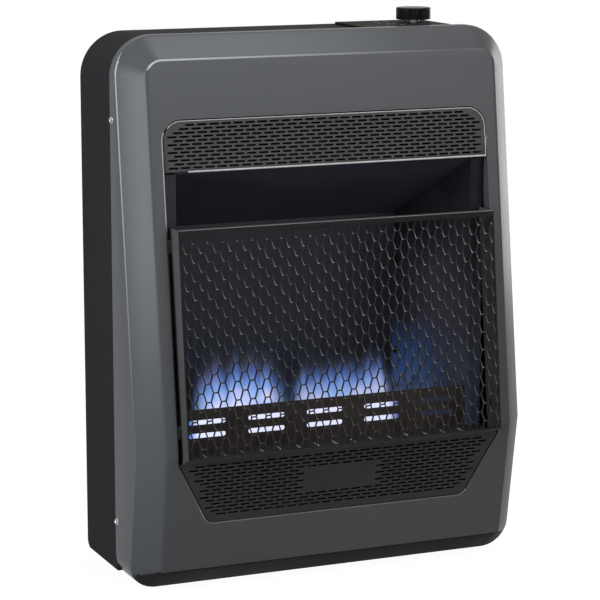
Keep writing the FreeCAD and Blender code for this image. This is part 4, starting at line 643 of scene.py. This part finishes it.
# Painted highlight and painted shade along the opening's edge, by height.
OPENING_LIGHT_LOW, OPENING_LIGHT_HIGH = 0.07, 0.47
opening_light_finish, opening_tree, opening_shader = new_material("painted_opening_light")
opening_height = spread(opening_tree, object_axes(opening_tree)["Z"], OPENING_LIGHT_LOW, OPENING_LIGHT_HIGH, 0.0, 1.0)
opening_light_greys = ((0.0, 0.19), (0.03, 0.24), (0.05, 0.36), (0.09, 0.2), (0.18, 0.13), (0.22, 0.03), (0.83, 0.03),
              (0.87, 0.5))
opening_colour = colour_ramp(opening_tree, opening_height, [(height, (grey, grey, grey))
                                                            for height, grey in opening_light_greys])
feed(opening_tree, opening_colour, opening_shader.inputs["Base Color"])
set_plain(opening_shader, {"Roughness": 0.4, "Specular IOR Level": 0.03})

# %% [markdown]
# The cover's copy gets its rounds, and three finishes by the way a face looks. The steepest faces of a round
# are its middle ones, so a face gets the painted highlight when it is turned well away from every large flat
# face. The faces turned down get a darker paint: painted shade. The bead on the opening's edge is set a
# little back, so that it doesn't stand far in front of the sheet.

# %% Front cover with pressed edges
FOLD_ROUND = 0.0022
LARGE_FLAT = 0.001
TURNED = math.radians(9.0)
OPENING_HALF = 0.2
OPENING_LOW, OPENING_HIGH = 0.07, 0.54
LOWER_EDGE = 0.1
GRILLE_FROM = 0.455
LEFT_OF_GRILLE, LEFT_OF_FIRE = -0.1925, -0.15
HIGHLIGHT_BEAD = 0.0008
BEAD_SUNK = Vector((0.0, 0.0004, 0.0))
DEPTH_AXIS = Vector((0.0, 1.0, 0.0))
HIGHLIGHTED, SHADED_BELOW = 1, 2


def edge_highlight_of_opening(edge):
    """Whether an edge is on the left side or the bottom of the opening, in the cover's front."""
    middle = (edge.verts[0].co + edge.verts[1].co) / 2
    in_opening = abs(middle.x) < OPENING_HALF and OPENING_LOW < middle.z < OPENING_HIGH
    left = LEFT_OF_GRILLE if middle.z > GRILLE_FROM else LEFT_OF_FIRE
    in_front = any(face.normal.y < -0.8 for face in edge.link_faces)
    return in_opening and in_front and (middle.x < left or middle.z < LOWER_EDGE)


cover_form = merged_copy("front_cover")
flats = [face.normal.copy() for face in cover_form.faces if face.calc_area() > LARGE_FLAT]
highlight_runs = runs([edge for edge in folds(cover_form, 70.0, 110.0) if edge_highlight_of_opening(edge)])
for face in round_edges(cover_form, folds(cover_form, 14.0, 70.0), FOLD_ROUND, 4, clamp=False):
    away = min(face.normal.angle(flat) for flat in flats)
    left_border = face.normal.x < -0.8
    top_fold = face.normal.z > 0.3 and face.normal.y < -0.75
    if away > TURNED and (left_border or top_fold):
        face.material_index = HIGHLIGHTED
# Painted shade on the faces that turn down.
for face in cover_form.faces:
    if face.normal.z < -0.45 and face.normal.y < -0.3:
        face.material_index = SHADED_BELOW
pressed_cover = finished_piece(cover_form, "pressed_cover", "cabinet", finishes["cover_paint"], crease_highlight_finish,
                               underside_paint)
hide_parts("front_cover")

highlight_form = bmesh.new()
for places in highlight_runs:
    bead(highlight_form, [place + BEAD_SUNK for place in places], HIGHLIGHT_BEAD, DEPTH_AXIS)
opening_bead = finished_piece(highlight_form, "opening_edge_highlight", "cabinet", opening_light_finish)

# %% [markdown]
# The guard is expanded metal: sheet slit in rows and pulled open. Along the edge of each strand that faces up
# and to the right runs a painted glint, for the light that edge catches; it is brighter higher up and to the
# right, and brownish low down. A bevel could give the glint, but so many strands would become heavy. Instead
# an attribute, which the next cell writes, says where the bright line runs.

# %% Paint and painted glints of the guard's strands
GLINT_LOW, GLINT_HIGH = 0.15, 0.34
GLINT_HALF = 0.15
strand_finish, strand_tree, strand_shader = new_material("dark_strand_with_painted_glint")
strand_place = object_place(strand_tree)
strand_axes = object_axes(strand_tree)
# Painted glint: brighter higher up and to the right, brownish low down.
glint_by_height = spread(strand_tree, strand_axes["Z"], GLINT_LOW, GLINT_HIGH, 0.0, 1.0)
patchy = spread(strand_tree, noise(strand_tree, strand_place, 120.0, 2.0), 0.3, 0.6, 0.35, 1.0)
glint_stronger_right = spread(strand_tree, strand_axes["X"], -GLINT_HALF, GLINT_HALF, 0.6, 1.0)
painted_glint_line = spread(strand_tree, attribute(strand_tree, "painted_glint"), 0.5, 0.9, 0.0, 1.0)
painted_glint_patches = math_node(strand_tree, "MULTIPLY", patchy, glint_stronger_right)
painted_glint_share = math_node(strand_tree, "MULTIPLY", painted_glint_line, painted_glint_patches)
strand_dark = mix_colour(strand_tree, noise(strand_tree, strand_place, 900.0, 2.0),
                         (0.012, 0.012, 0.013, 1.0), (0.03, 0.03, 0.031, 1.0))
painted_glint_colour = mix_colour(strand_tree, glint_by_height, (0.3, 0.23, 0.16, 1.0), (0.95, 0.93, 0.9, 1.0))
strand_colour = mix_colour(strand_tree, painted_glint_share, strand_dark, painted_glint_colour)
feed(strand_tree, strand_colour, strand_shader.inputs["Base Color"])
feed(strand_tree, spread(strand_tree, patchy, 0.35, 1.0, 0.5, 0.36), strand_shader.inputs["Roughness"])
set_plain(strand_shader, {"Specular IOR Level": 0.06})

# %% [markdown]
# Pulling the sheet open twists each strand, so the edges of a hole don't lie in one plane. The solid has flat
# strands. In a merged copy, a corner whose walls face down stays, and one whose walls face up moves back:
# walls face into their hole, so the first is on a hole's upper side and the other on its lower side. Each
# corner also remembers how far its walls face up and to the right, where the painted glint goes.

# %% Expanded metal with twisted strands
STRAND_TWIST = 0.0009
BORDER = 0.002
WALL_LEAN = 0.3
RIGHT = Vector((1.0, 0.0, 0.0))
mesh_form = merged_copy("guard_mesh", flatten=False)
mesh_front = max(mesh_form.faces, key=lambda face: -face.normal.y).normal.copy()
mesh_up = RIGHT.cross(mesh_front)
mesh_up = mesh_up if mesh_up.z > 0 else -mesh_up
painted_glint_side = (mesh_up + RIGHT).normalized()
half_width = max(point.co.x for point in mesh_form.verts)
heights = [point.co.dot(mesh_up) for point in mesh_form.verts]
lowest, highest = min(heights), max(heights)
# The attribute written here marks where the painted glint runs.
painted_glint_layer = mesh_form.verts.layers.float.new("painted_glint")
for point in mesh_form.verts:
    in_width = abs(point.co.x) <= half_width - BORDER
    in_height = lowest + BORDER < point.co.dot(mesh_up) < highest - BORDER
    walls = [face.normal for face in point.link_faces if abs(face.normal.dot(mesh_front)) < WALL_LEAN]
    if walls and in_width and in_height:
        facing = sum(walls, Vector()).normalized()
        point[painted_glint_layer] = max(0.0, facing.dot(painted_glint_side))
        point.co -= mesh_front * (STRAND_TWIST * (1.0 + facing.dot(mesh_up)) / 2)
twisted_mesh = finished_piece(mesh_form, "twisted_guard_mesh", "cabinet", strand_finish, sharp=20.0)
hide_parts("guard_mesh")

# %% [markdown]
# The mesh is welded in a bent sheet frame. The edges of a merged copy are rounded, and a bead runs along the
# top with a painted highlight, for the bright line that the upper edge catches. The bead is a bit thicker
# than it is sunk, so that it stands just proud of the sheet.

# %% Guard frame with a painted highlight on its upper edge
FRAME_ROUND = 0.0006
RAIL_SUNK = 0.0008
RAIL_BEAD = 0.00104
frame_form = merged_copy("guard_frame")
round_edges(frame_form, folds(frame_form, 60.0, 120.0), FRAME_ROUND, 2)
worn_frame = finished_piece(frame_form, "worn_guard_frame", "cabinet", finishes["guard_steel"])
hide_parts("guard_frame")

frame_corners = [point.co for point in worn_frame.data.vertices]
rail_top = max(place.z for place in frame_corners) - RAIL_SUNK
rail_corners = [place for place in frame_corners if place.z > rail_top]
rail_front = min(place.y for place in rail_corners) + RAIL_SUNK
rail_half = max(place.x for place in rail_corners) - RAIL_SUNK
# The bead along the top of the frame carries a painted highlight.
rail_ends = [Vector((side * rail_half, rail_front, rail_top)) for side in (-1.0, 1.0)]
rail_form = bmesh.new()
bead(rail_form, rail_ends, RAIL_BEAD, DEPTH_AXIS)
rail_bead = finished_piece(rail_form, "guard_rail_highlight", "cabinet", edge_highlight)

# %% [markdown]
# Behind the guard, short ridges stiffen the shelf of the lower grille, and their crests carry a painted
# glint:
# a near-white colour for the light they mirror. Each is a straight bead half sunk in the shelf, and a loop
# repeats it at an even pitch.

# %% Ridges on the shelf behind the guard
RIDGE_FIRST = -0.154
RIDGE_PITCH = 0.02245
RIDGE_COUNT = 15
RIDGE_RADIUS = 0.0008
RIDGE_FRONT, RIDGE_BACK = -0.0735, -0.058
SHELF_TOP = 0.1515
UP = Vector((0.0, 0.0, 1.0))
# A near-white finish for the ridge crests: a painted glint.
ridge_glint_finish = make_finish(
    "painted_ridge_glint", dark=(0.8, 0.8, 0.8), light=(0.92, 0.92, 0.92), roughness=(0.25, 0.35),
    metallic=0.3, gloss=0.5, clouds=300.0, grain_scale=2000.0, bump=0.02, edge=0.0, edge_radius=0.0002)
ridge_form = bmesh.new()
for index in range(RIDGE_COUNT):
    ridge_x = RIDGE_FIRST + index * RIDGE_PITCH
    ridge_ends = [Vector((ridge_x, y, SHELF_TOP)) for y in (RIDGE_FRONT, RIDGE_BACK)]
    bead(ridge_form, ridge_ends, RIDGE_RADIUS, UP)
shelf_ridges = finished_piece(ridge_form, "bright_shelf_ridges", "cabinet", ridge_glint_finish)

# %% [markdown]
# The upper grille's rim is rolled, and catches a thin bright line in the photograph. Its rim is the one
# closed loop of front edges that holds the grille's highest corner. Starting there and stepping along edges
# of the front face finds it without touching the edges of the slots. The rounded rim gets a nearly black
# painted shadow, for the gap round the grille. A bead with a painted highlight follows the top and the right
# side, and a thicker one the bottom lip, which stops short of the left end. On the left the bright line is
# the edge of the cover's opening.

# %% Upper grille with a rolled rim
RIM_ROUND = 0.0022
RIM_BEAD = 0.0006
RIM_LEFT = -0.1875
RIM_ABOVE_LIP = 0.002
LIP_BEAD = 0.0011
LIP_LEFT = -0.1667
LIP_LEVEL = 0.0005
FLAT_FRONT = 0.99
FRONT_FIRST = 0.001
SHADOW_GAP = 1


def rim_edges(form, front):
    """The closed loop of front edges that holds the form's highest corner, in front if there are two."""
    def on_rim(edge):
        in_front = [face.normal.dot(front) > FLAT_FRONT for face in edge.link_faces]
        return len(in_front) == 2 and sum(in_front) == 1

    start = max(form.verts, key=lambda point: point.co.z + FRONT_FIRST * point.co.dot(front))
    found, known, reach = [], {start}, [start]
    while reach:
        point = reach.pop()
        for edge in filter(on_rim, point.link_edges):
            other = edge.other_vert(point)
            if edge not in found:
                found.append(edge)
            if other not in known:
                known.add(other)
                reach.append(other)
    return found


grille_form = merged_copy("upper_grille")
grille_front = max(grille_form.faces, key=lambda face: -face.normal.y).normal.copy()
rim = rim_edges(grille_form, grille_front)
rim_bottom = min(point.co.z for edge in rim for point in edge.verts)
top_and_right = [edge for edge in rim if max(point.co.z for point in edge.verts) > rim_bottom + RIM_ABOVE_LIP
                 and max(point.co.x for point in edge.verts) > RIM_LEFT]
rim_runs = runs(top_and_right)
lip_line = [point.co.copy() for edge in rim for point in edge.verts if point.co.z < rim_bottom + LIP_LEVEL]
lip_right = max(lip_line, key=lambda place: place.x)
# Painted shadow on the rounded rim, for the gap round the grille.
for face in round_edges(grille_form, rim, RIM_ROUND, 2):
    face.material_index = SHADOW_GAP
rolled_grille = finished_piece(grille_form, "rolled_upper_grille", "cabinet", lit_upper_grille_paint, gap_shadow)
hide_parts("upper_grille")

rim_form = bmesh.new()
for places in rim_runs:
    bead(rim_form, places, RIM_BEAD, DEPTH_AXIS)
bead(rim_form, [Vector((LIP_LEFT, lip_right.y, lip_right.z)), lip_right], LIP_BEAD, DEPTH_AXIS)
rim_bead = finished_piece(rim_form, "bright_grille_rim", "cabinet", edge_highlight)

# %% [markdown]
# The screws are the indented hexagon kind that holds sheet metal: a round washer, a six-sided head with a
# sunken top, and a pointed shank. Each is three cones and an inset, turned to its place. The places are read
# from the separate solids of the node that the screws stand for, and the head's width sets the other widths.

# %% Sheet-metal screws
SCREW_HEAD_HEIGHT = 0.0022
WASHER = 0.0006
SHANK_LENGTH = 0.0085
WASHER_FOOT, WASHER_TOP = 0.5, 0.46
HEXAGON_FOOT, HEXAGON_TOP = 0.38, 0.36
SHANK_TIP, SHANK_ROOT = 0.12, 0.25
CROWN_RIM, CROWN_DEPTH = 0.1, 0.09


def separate_boxes(node_name):
    """Lowest and highest corner of each loose solid in a node, from a merged copy."""
    form = merged_copy(node_name)
    boxes, known = [], set()
    for first in list(form.verts):
        if first in known:
            continue
        known.add(first)
        island, reach = [], [first]
        while reach:
            point = reach.pop()
            island.append(point.co.copy())
            for edge in point.link_edges:
                other = edge.other_vert(point)
                if other not in known:
                    known.add(other)
                    reach.append(other)
        low = Vector([min(place[axis] for place in island) for axis in range(3)])
        high = Vector([max(place[axis] for place in island) for axis in range(3)])
        boxes.append((low, high))
    form.free()
    return boxes


def add_screw(form, top, outward, head):
    """One screw whose head faces outward and whose top is at the given place."""
    turn = Matrix.Translation(top) @ outward.to_track_quat("Z", "X").to_matrix().to_4x4()

    def cone(segments, foot, crown, depth, middle):
        made = bmesh.ops.create_cone(form, cap_ends=True, segments=segments, radius1=foot * head,
                                     radius2=crown * head, depth=depth,
                                     matrix=turn @ Matrix.Translation((0.0, 0.0, middle)))
        return made["verts"]

    cone(28, WASHER_FOOT, WASHER_TOP, WASHER, WASHER / 2 - SCREW_HEAD_HEIGHT)
    hexagon = cone(6, HEXAGON_FOOT, HEXAGON_TOP, SCREW_HEAD_HEIGHT - WASHER, (WASHER - SCREW_HEAD_HEIGHT) / 2)
    cone(16, SHANK_TIP, SHANK_ROOT, SHANK_LENGTH, -SCREW_HEAD_HEIGHT - SHANK_LENGTH / 2)
    faces = {face for point in hexagon for face in point.link_faces}
    crown = max(faces, key=lambda face: face.calc_center_median().dot(outward))
    bmesh.ops.inset_region(form, faces=[crown], thickness=CROWN_RIM * head, depth=-CROWN_DEPTH * head)


def screw_set(name, node_name, outward_of, finish):
    form = bmesh.new()
    for low, high in separate_boxes(node_name):
        middle = (low + high) / 2
        outward = outward_of(middle)
        reach = Vector([abs(part) for part in outward]).dot((high - low) / 2)
        head = sorted(high - low)[1]
        add_screw(form, middle + outward * reach, outward, head)
    bmesh.ops.recalc_face_normals(form, faces=form.faces)
    piece = finished_piece(form, name, "cabinet", finish)
    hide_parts(node_name)


def side_of(place):
    return Vector((math.copysign(1.0, place.x), 0.0, 0.0))


screw_set("hex_cover_screws", "cover_screws", side_of, finishes["screw_steel"])
screw_set("hex_guard_screws", "guard_screws", lambda place: -side_of(place), sooted_pilot)
screw_set("hex_back_screws", "back_screws", lambda place: DEPTH_AXIS, finishes["screw_steel"])

# %% [markdown]
# The knob is a fluted moulding. Its edges are rounded in the solid's copy, so that each flute has its own
# thin light. Drawing it anew would take longer and could drift from the solid that the joint turns.

# %% Knob
KNOB_ROUND = 0.00035
knob_form = merged_copy("control_knob")
round_edges(knob_form, folds(knob_form, 25.0, 120.0), KNOB_ROUND, 2)
fluted_knob = finished_piece(knob_form, "fluted_knob", "control_knob", finishes["knob_plastic"])
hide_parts("control_knob")

# %% [markdown]
# Below the knob a short wound spring pushes it up: a circle of wire, spun round the knob's axis while it
# climbs, gives the coil in one step.

# %% Knob spring
SPRING_WIRE = 0.001
WIRE_SIDES = 10
SPRING_TURNS = 4.5
STEPS_PER_TURN = 40
spring_low, spring_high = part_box("knob_spring")
spring_axis = (spring_low + spring_high) / 2
spring_axis.z = spring_low.z
spring_height = spring_high.z - spring_low.z
spring_radius = (spring_high.x - spring_low.x) / 2 - SPRING_WIRE / 2
spring_form = bmesh.new()
wire_place = spring_axis + Vector((spring_radius, 0.0, SPRING_WIRE / 2))
ring = bmesh.ops.create_circle(spring_form, segments=WIRE_SIDES, radius=SPRING_WIRE / 2,
                               matrix=Matrix.Translation(wire_place) @ Matrix.Rotation(math.pi / 2, 4, "X"))
steps = int(SPRING_TURNS * STEPS_PER_TURN)
bmesh.ops.spin(spring_form, geom=ring["verts"] + spring_form.edges[:], cent=spring_axis, axis=(0.0, 0.0, 1.0),
               dvec=(0.0, 0.0, (spring_height - SPRING_WIRE) / steps), angle=2.0 * math.pi * SPRING_TURNS,
               steps=steps)
open_ends = [edge for edge in spring_form.edges if len(edge.link_faces) == 1]
bmesh.ops.holes_fill(spring_form, edges=open_ends, sides=WIRE_SIDES)
bmesh.ops.recalc_face_normals(spring_form, faces=spring_form.faces)
wound_spring = finished_piece(spring_form, "wound_knob_spring", "cabinet", finishes["plain_steel"])
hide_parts("knob_spring")
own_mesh(wound_spring)

# %% [markdown]
# The fire is three blue flames side by side, the left one tallest and the right one faint. Each is full over
# a stretch of the burner and fades at both ends of it, so its outline is a smooth step up and a smooth step
# down.

# %% Flame outline
FLAME_LEFT, FLAME_RIGHT = -0.16, 0.17
FLAME_LEAST = 0.004
FLAMES = (
    {"start": -0.151, "full": -0.128, "fall": -0.06, "end": -0.026, "tall": 0.066, "strength": 1.0},
    {"start": -0.034, "full": -0.008, "fall": 0.082, "end": 0.1, "tall": 0.051, "strength": 0.82},
    {"start": 0.086, "full": 0.105, "fall": 0.13, "end": 0.17, "tall": 0.05, "strength": 0.16},
)


def flame_step(x, flame):
    """Smooth rise from start to full, level to fall and smooth drop to end."""
    rising = (x - flame["start"]) / (flame["full"] - flame["start"])
    falling = (flame["end"] - x) / (flame["end"] - flame["fall"])
    share = max(0.0, min(1.0, rising, falling))
    return share * share * (3.0 - 2.0 * share)


def fire_at(x):
    """How strong the fire is at x, and how tall. A flame's ends are half as tall as its middle."""
    strength, tall = 0.0, FLAME_LEAST
    for flame in FLAMES:
        share = flame_step(x, flame)
        if share > 0.0:
            strength = max(strength, flame["strength"] * share)
            tall = max(tall, flame["tall"] * (0.5 + 0.5 * share))
    return strength, tall


print("strength and height of the fire", [fire_at((flame["full"] + flame["fall"]) / 2) for flame in FLAMES])

# %% [markdown]
# Flames are light and no solid, so their material only glows and fades. Two attributes steer it: how high a
# point sits in the flame, and how strong the fire is there. So the flame looks the same from every side.
# Drawn marks, stretched upright, make the top uneven, and noise turns patches of the blue core pale.

# %% Flame material
UNEVEN_TOP = 0.12
FADE_POWER = 1.5
FADE_SHARE = 0.8
flame_finish, flame_tree, flame_shader = new_material("blue_flame")
inside = attribute(flame_tree, "flame_inside")
tongues = place_group(flame_tree, drawn_group, {
    "Vector": object_place(flame_tree), "Stretch": (1.0, 0.2, 0.12), "Scale": 80.0})["Mask"]
uneven = spread(flame_tree, tongues, 0.3, 0.7, -UNEVEN_TOP, UNEVEN_TOP)
flame_level = math_node(flame_tree, "ADD", attribute(flame_tree, "flame_rise"), uneven)
blue_core = colour_ramp(flame_tree, flame_level, [
    (0.0, (0.42, 0.6, 1.0)), (0.3, (0.23, 0.42, 0.95)), (0.5, (0.11, 0.2, 0.58)), (0.7, (0.06, 0.08, 0.16)),
    (1.0, (0.04, 0.045, 0.06))])
pale_core = colour_ramp(flame_tree, flame_level, [
    (0.0, (0.8, 0.78, 1.0)), (0.3, (0.52, 0.53, 0.96)), (0.5, (0.2, 0.22, 0.42)), (0.7, (0.09, 0.09, 0.12)),
    (1.0, (0.05, 0.05, 0.055))])
pale_share = spread(flame_tree, noise(flame_tree, object_place(flame_tree), 34.0, 1.0), 0.48, 0.68, 0.0, 1.0)
core_colour = mix_colour(flame_tree, pale_share, blue_core, pale_core)
flame_colour = mix_colour(flame_tree, inside, (0.05, 0.09, 0.2, 1.0), core_colour)
left_over = math_node(flame_tree, "MAXIMUM", math_node(flame_tree, "SUBTRACT", 1.0, flame_level), 0.0)
fading = math_node(flame_tree, "MULTIPLY", math_node(flame_tree, "POWER", left_over, FADE_POWER), FADE_SHARE)
flame_cover = math_node(flame_tree, "MULTIPLY", fading, inside)
feed(flame_tree, flame_colour, flame_shader.inputs["Emission Color"])
feed(flame_tree, flame_cover, flame_shader.inputs["Alpha"])
set_plain(flame_shader, {"Base Color": BLACK, "Specular IOR Level": 0.0, "Roughness": 1.0,
                         "Emission Strength": 1.0})

# %% [markdown]
# The flames themselves are thin curved sheets. Each sheet starts as a grid. Its columns are stretched to the
# height of the flame at that place, and every point remembers the two values that the material reads. Three
# sheets one behind another, each with its own ripple, give the fire some depth. A volume would look deeper,
# but it renders slowly and can't be exported.

# %% Flame sheets
FLAME_FOOT = 0.008
FLAME_GAP = 0.006
FLAME_LEAN = 0.006
FLAME_SWAY = 0.003
COARSE_RIPPLE, COARSE_WAVES = 0.05, 260.0
FINE_RIPPLE, FINE_WAVES = 0.04, 571.0
burner_low, burner_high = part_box("burner_tube")
shield_low, shield_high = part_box("burner_shield")
burner_line = (burner_low.y + burner_high.y) / 2
flame_bottom = shield_high.z - FLAME_FOOT


def flame_sheet(name, y, tall, shift):
    form = bmesh.new()
    bmesh.ops.create_grid(form, x_segments=110, y_segments=14, size=0.5)
    rise_layer = form.verts.layers.float.new("flame_rise")
    inside_layer = form.verts.layers.float.new("flame_inside")
    for point in form.verts:
        up = point.co.y + 0.5
        x = FLAME_LEFT + (point.co.x + 0.5) * (FLAME_RIGHT - FLAME_LEFT)
        strength, height = fire_at(x + FLAME_SWAY * math.sin(shift))
        coarse = COARSE_RIPPLE * math.sin(x * COARSE_WAVES + shift)
        fine = FINE_RIPPLE * math.sin(x * FINE_WAVES + 2.0 * shift)
        lean = FLAME_LEAN * math.sin(up * math.pi / 2 + shift) * up
        rise = up * (height * tall * (1.0 + coarse + fine) + FLAME_FOOT)
        point.co = Vector((x, y + lean, flame_bottom + rise))
        point[rise_layer] = up
        point[inside_layer] = strength
    return finished_piece(form, name, "cabinet", flame_finish)


flame_sheet("flame_front", burner_line - FLAME_GAP, tall=0.9, shift=0.3)
flame_sheet("flame_middle", burner_line, tall=1.0, shift=1.7)
flame_sheet("flame_back", burner_line + FLAME_GAP, tall=0.95, shift=3.1)

# %% [markdown]
# Through the slots of the burner shield the foot of the fire shows almost white, turning blue at the ends.
# That is another glowing sheet, upright between the shield and the burner. Its brightness follows its place
# along the burner, read from Object coordinates.

# %% Fire behind the shield
FOOT_RAMP_HALF = 0.18
FOOT_WIDTH = 0.332
FOOT_LOW = 0.1585
FOOT_HEIGHT = 0.036
FOOT_BOW = 0.002
foot_finish, foot_tree, foot_shader = new_material("white_flame_foot")
foot_along = spread(foot_tree, object_axes(foot_tree)["X"], -FOOT_RAMP_HALF, FOOT_RAMP_HALF, 0.0, 1.0)
foot_colour = colour_ramp(foot_tree, foot_along, [
    (0.044, (0.01, 0.03, 0.15)), (0.062, (0.15, 0.3, 0.8)), (0.08, (0.74, 0.76, 0.97)),
    (0.725, (0.7, 0.72, 0.95)), (0.755, (0.12, 0.17, 0.42)), (0.775, (0.02, 0.025, 0.05)),
    (1.0, (0.015, 0.02, 0.035))])
feed(foot_tree, foot_colour, foot_shader.inputs["Emission Color"])
set_plain(foot_shader, {"Base Color": BLACK, "Specular IOR Level": 0.0, "Roughness": 1.0,
                        "Emission Strength": 1.1})

foot_form = bmesh.new()
bmesh.ops.create_grid(foot_form, x_segments=40, y_segments=4, size=0.5)
foot_y = (shield_low.y + burner_low.y) / 2
for point in foot_form.verts:
    bow = FOOT_BOW * math.cos(point.co.x * math.pi)
    point.co = Vector((point.co.x * FOOT_WIDTH, foot_y - bow, FOOT_LOW + (point.co.y + 0.5) * FOOT_HEIGHT))
finished_piece(foot_form, "flame_foot", "cabinet", foot_finish)

# %% [markdown]
# Round the knob the control plate has a pale printed scale of plain numbers and ticks. Text starts as a curve
# with Blender's own font, is made a mesh, and is then moved to its place. The print is a hair above the
# plate, so that the two surfaces don't fight.

# %% Printed scale
DIGITS = 5
DIGIT_RADIUS = 0.044
DIGIT_SIZE = 0.0085
TICK_RADIUS = 0.034
TICK_LENGTH = 0.004
TICK_WIDTH = 0.0011
PRINT_LIFT = 0.00008
PRINT_THICK = 0.00005
SCALE_START = math.radians(132.0)
SCALE_STEP = math.radians(24.0)
print_finish = make_finish(
    "pale_scale_print", dark=(0.4, 0.4, 0.38), light=(0.5, 0.5, 0.48), roughness=(0.5, 0.6),
    metallic=0.0, gloss=0.2, clouds=300.0, grain_scale=2500.0, bump=0.05, edge=0.0, edge_radius=0.0002)
knob_low, knob_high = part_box("control_knob")
plate_low, plate_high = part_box("control_plate")
knob_axis = (knob_low + knob_high) / 2
knob_axis.z = plate_high.z + PRINT_LIFT
tick_size = Matrix.Diagonal((TICK_LENGTH, TICK_WIDTH, PRINT_THICK, 1.0))
scale_form = bmesh.new()
for index in range(DIGITS):
    angle = SCALE_START + index * SCALE_STEP
    outward = Vector((math.cos(angle), math.sin(angle), 0.0))
    tick_place = Matrix.Translation(knob_axis + outward * TICK_RADIUS) @ Matrix.Rotation(angle, 4, "Z")
    bmesh.ops.create_cube(scale_form, size=1.0, matrix=tick_place @ tick_size)
    digit = bpy.data.curves.new("digit", "FONT")
    digit.body = str(index + 1)
    digit.size = DIGIT_SIZE
    digit.extrude = PRINT_THICK / 2
    digit.align_x = "CENTER"
    digit.align_y = "CENTER"
    digit_holder = bpy.data.objects.new("digit", digit)
    digit_mesh = bpy.data.meshes.new_from_object(digit_holder)
    digit_mesh.transform(Matrix.Translation(knob_axis + outward * DIGIT_RADIUS))
    scale_form.from_mesh(digit_mesh)
    bpy.data.objects.remove(digit_holder)
    bpy.data.meshes.remove(digit_mesh)
printed_scale = finished_piece(scale_form, "printed_scale", "cabinet", print_finish)
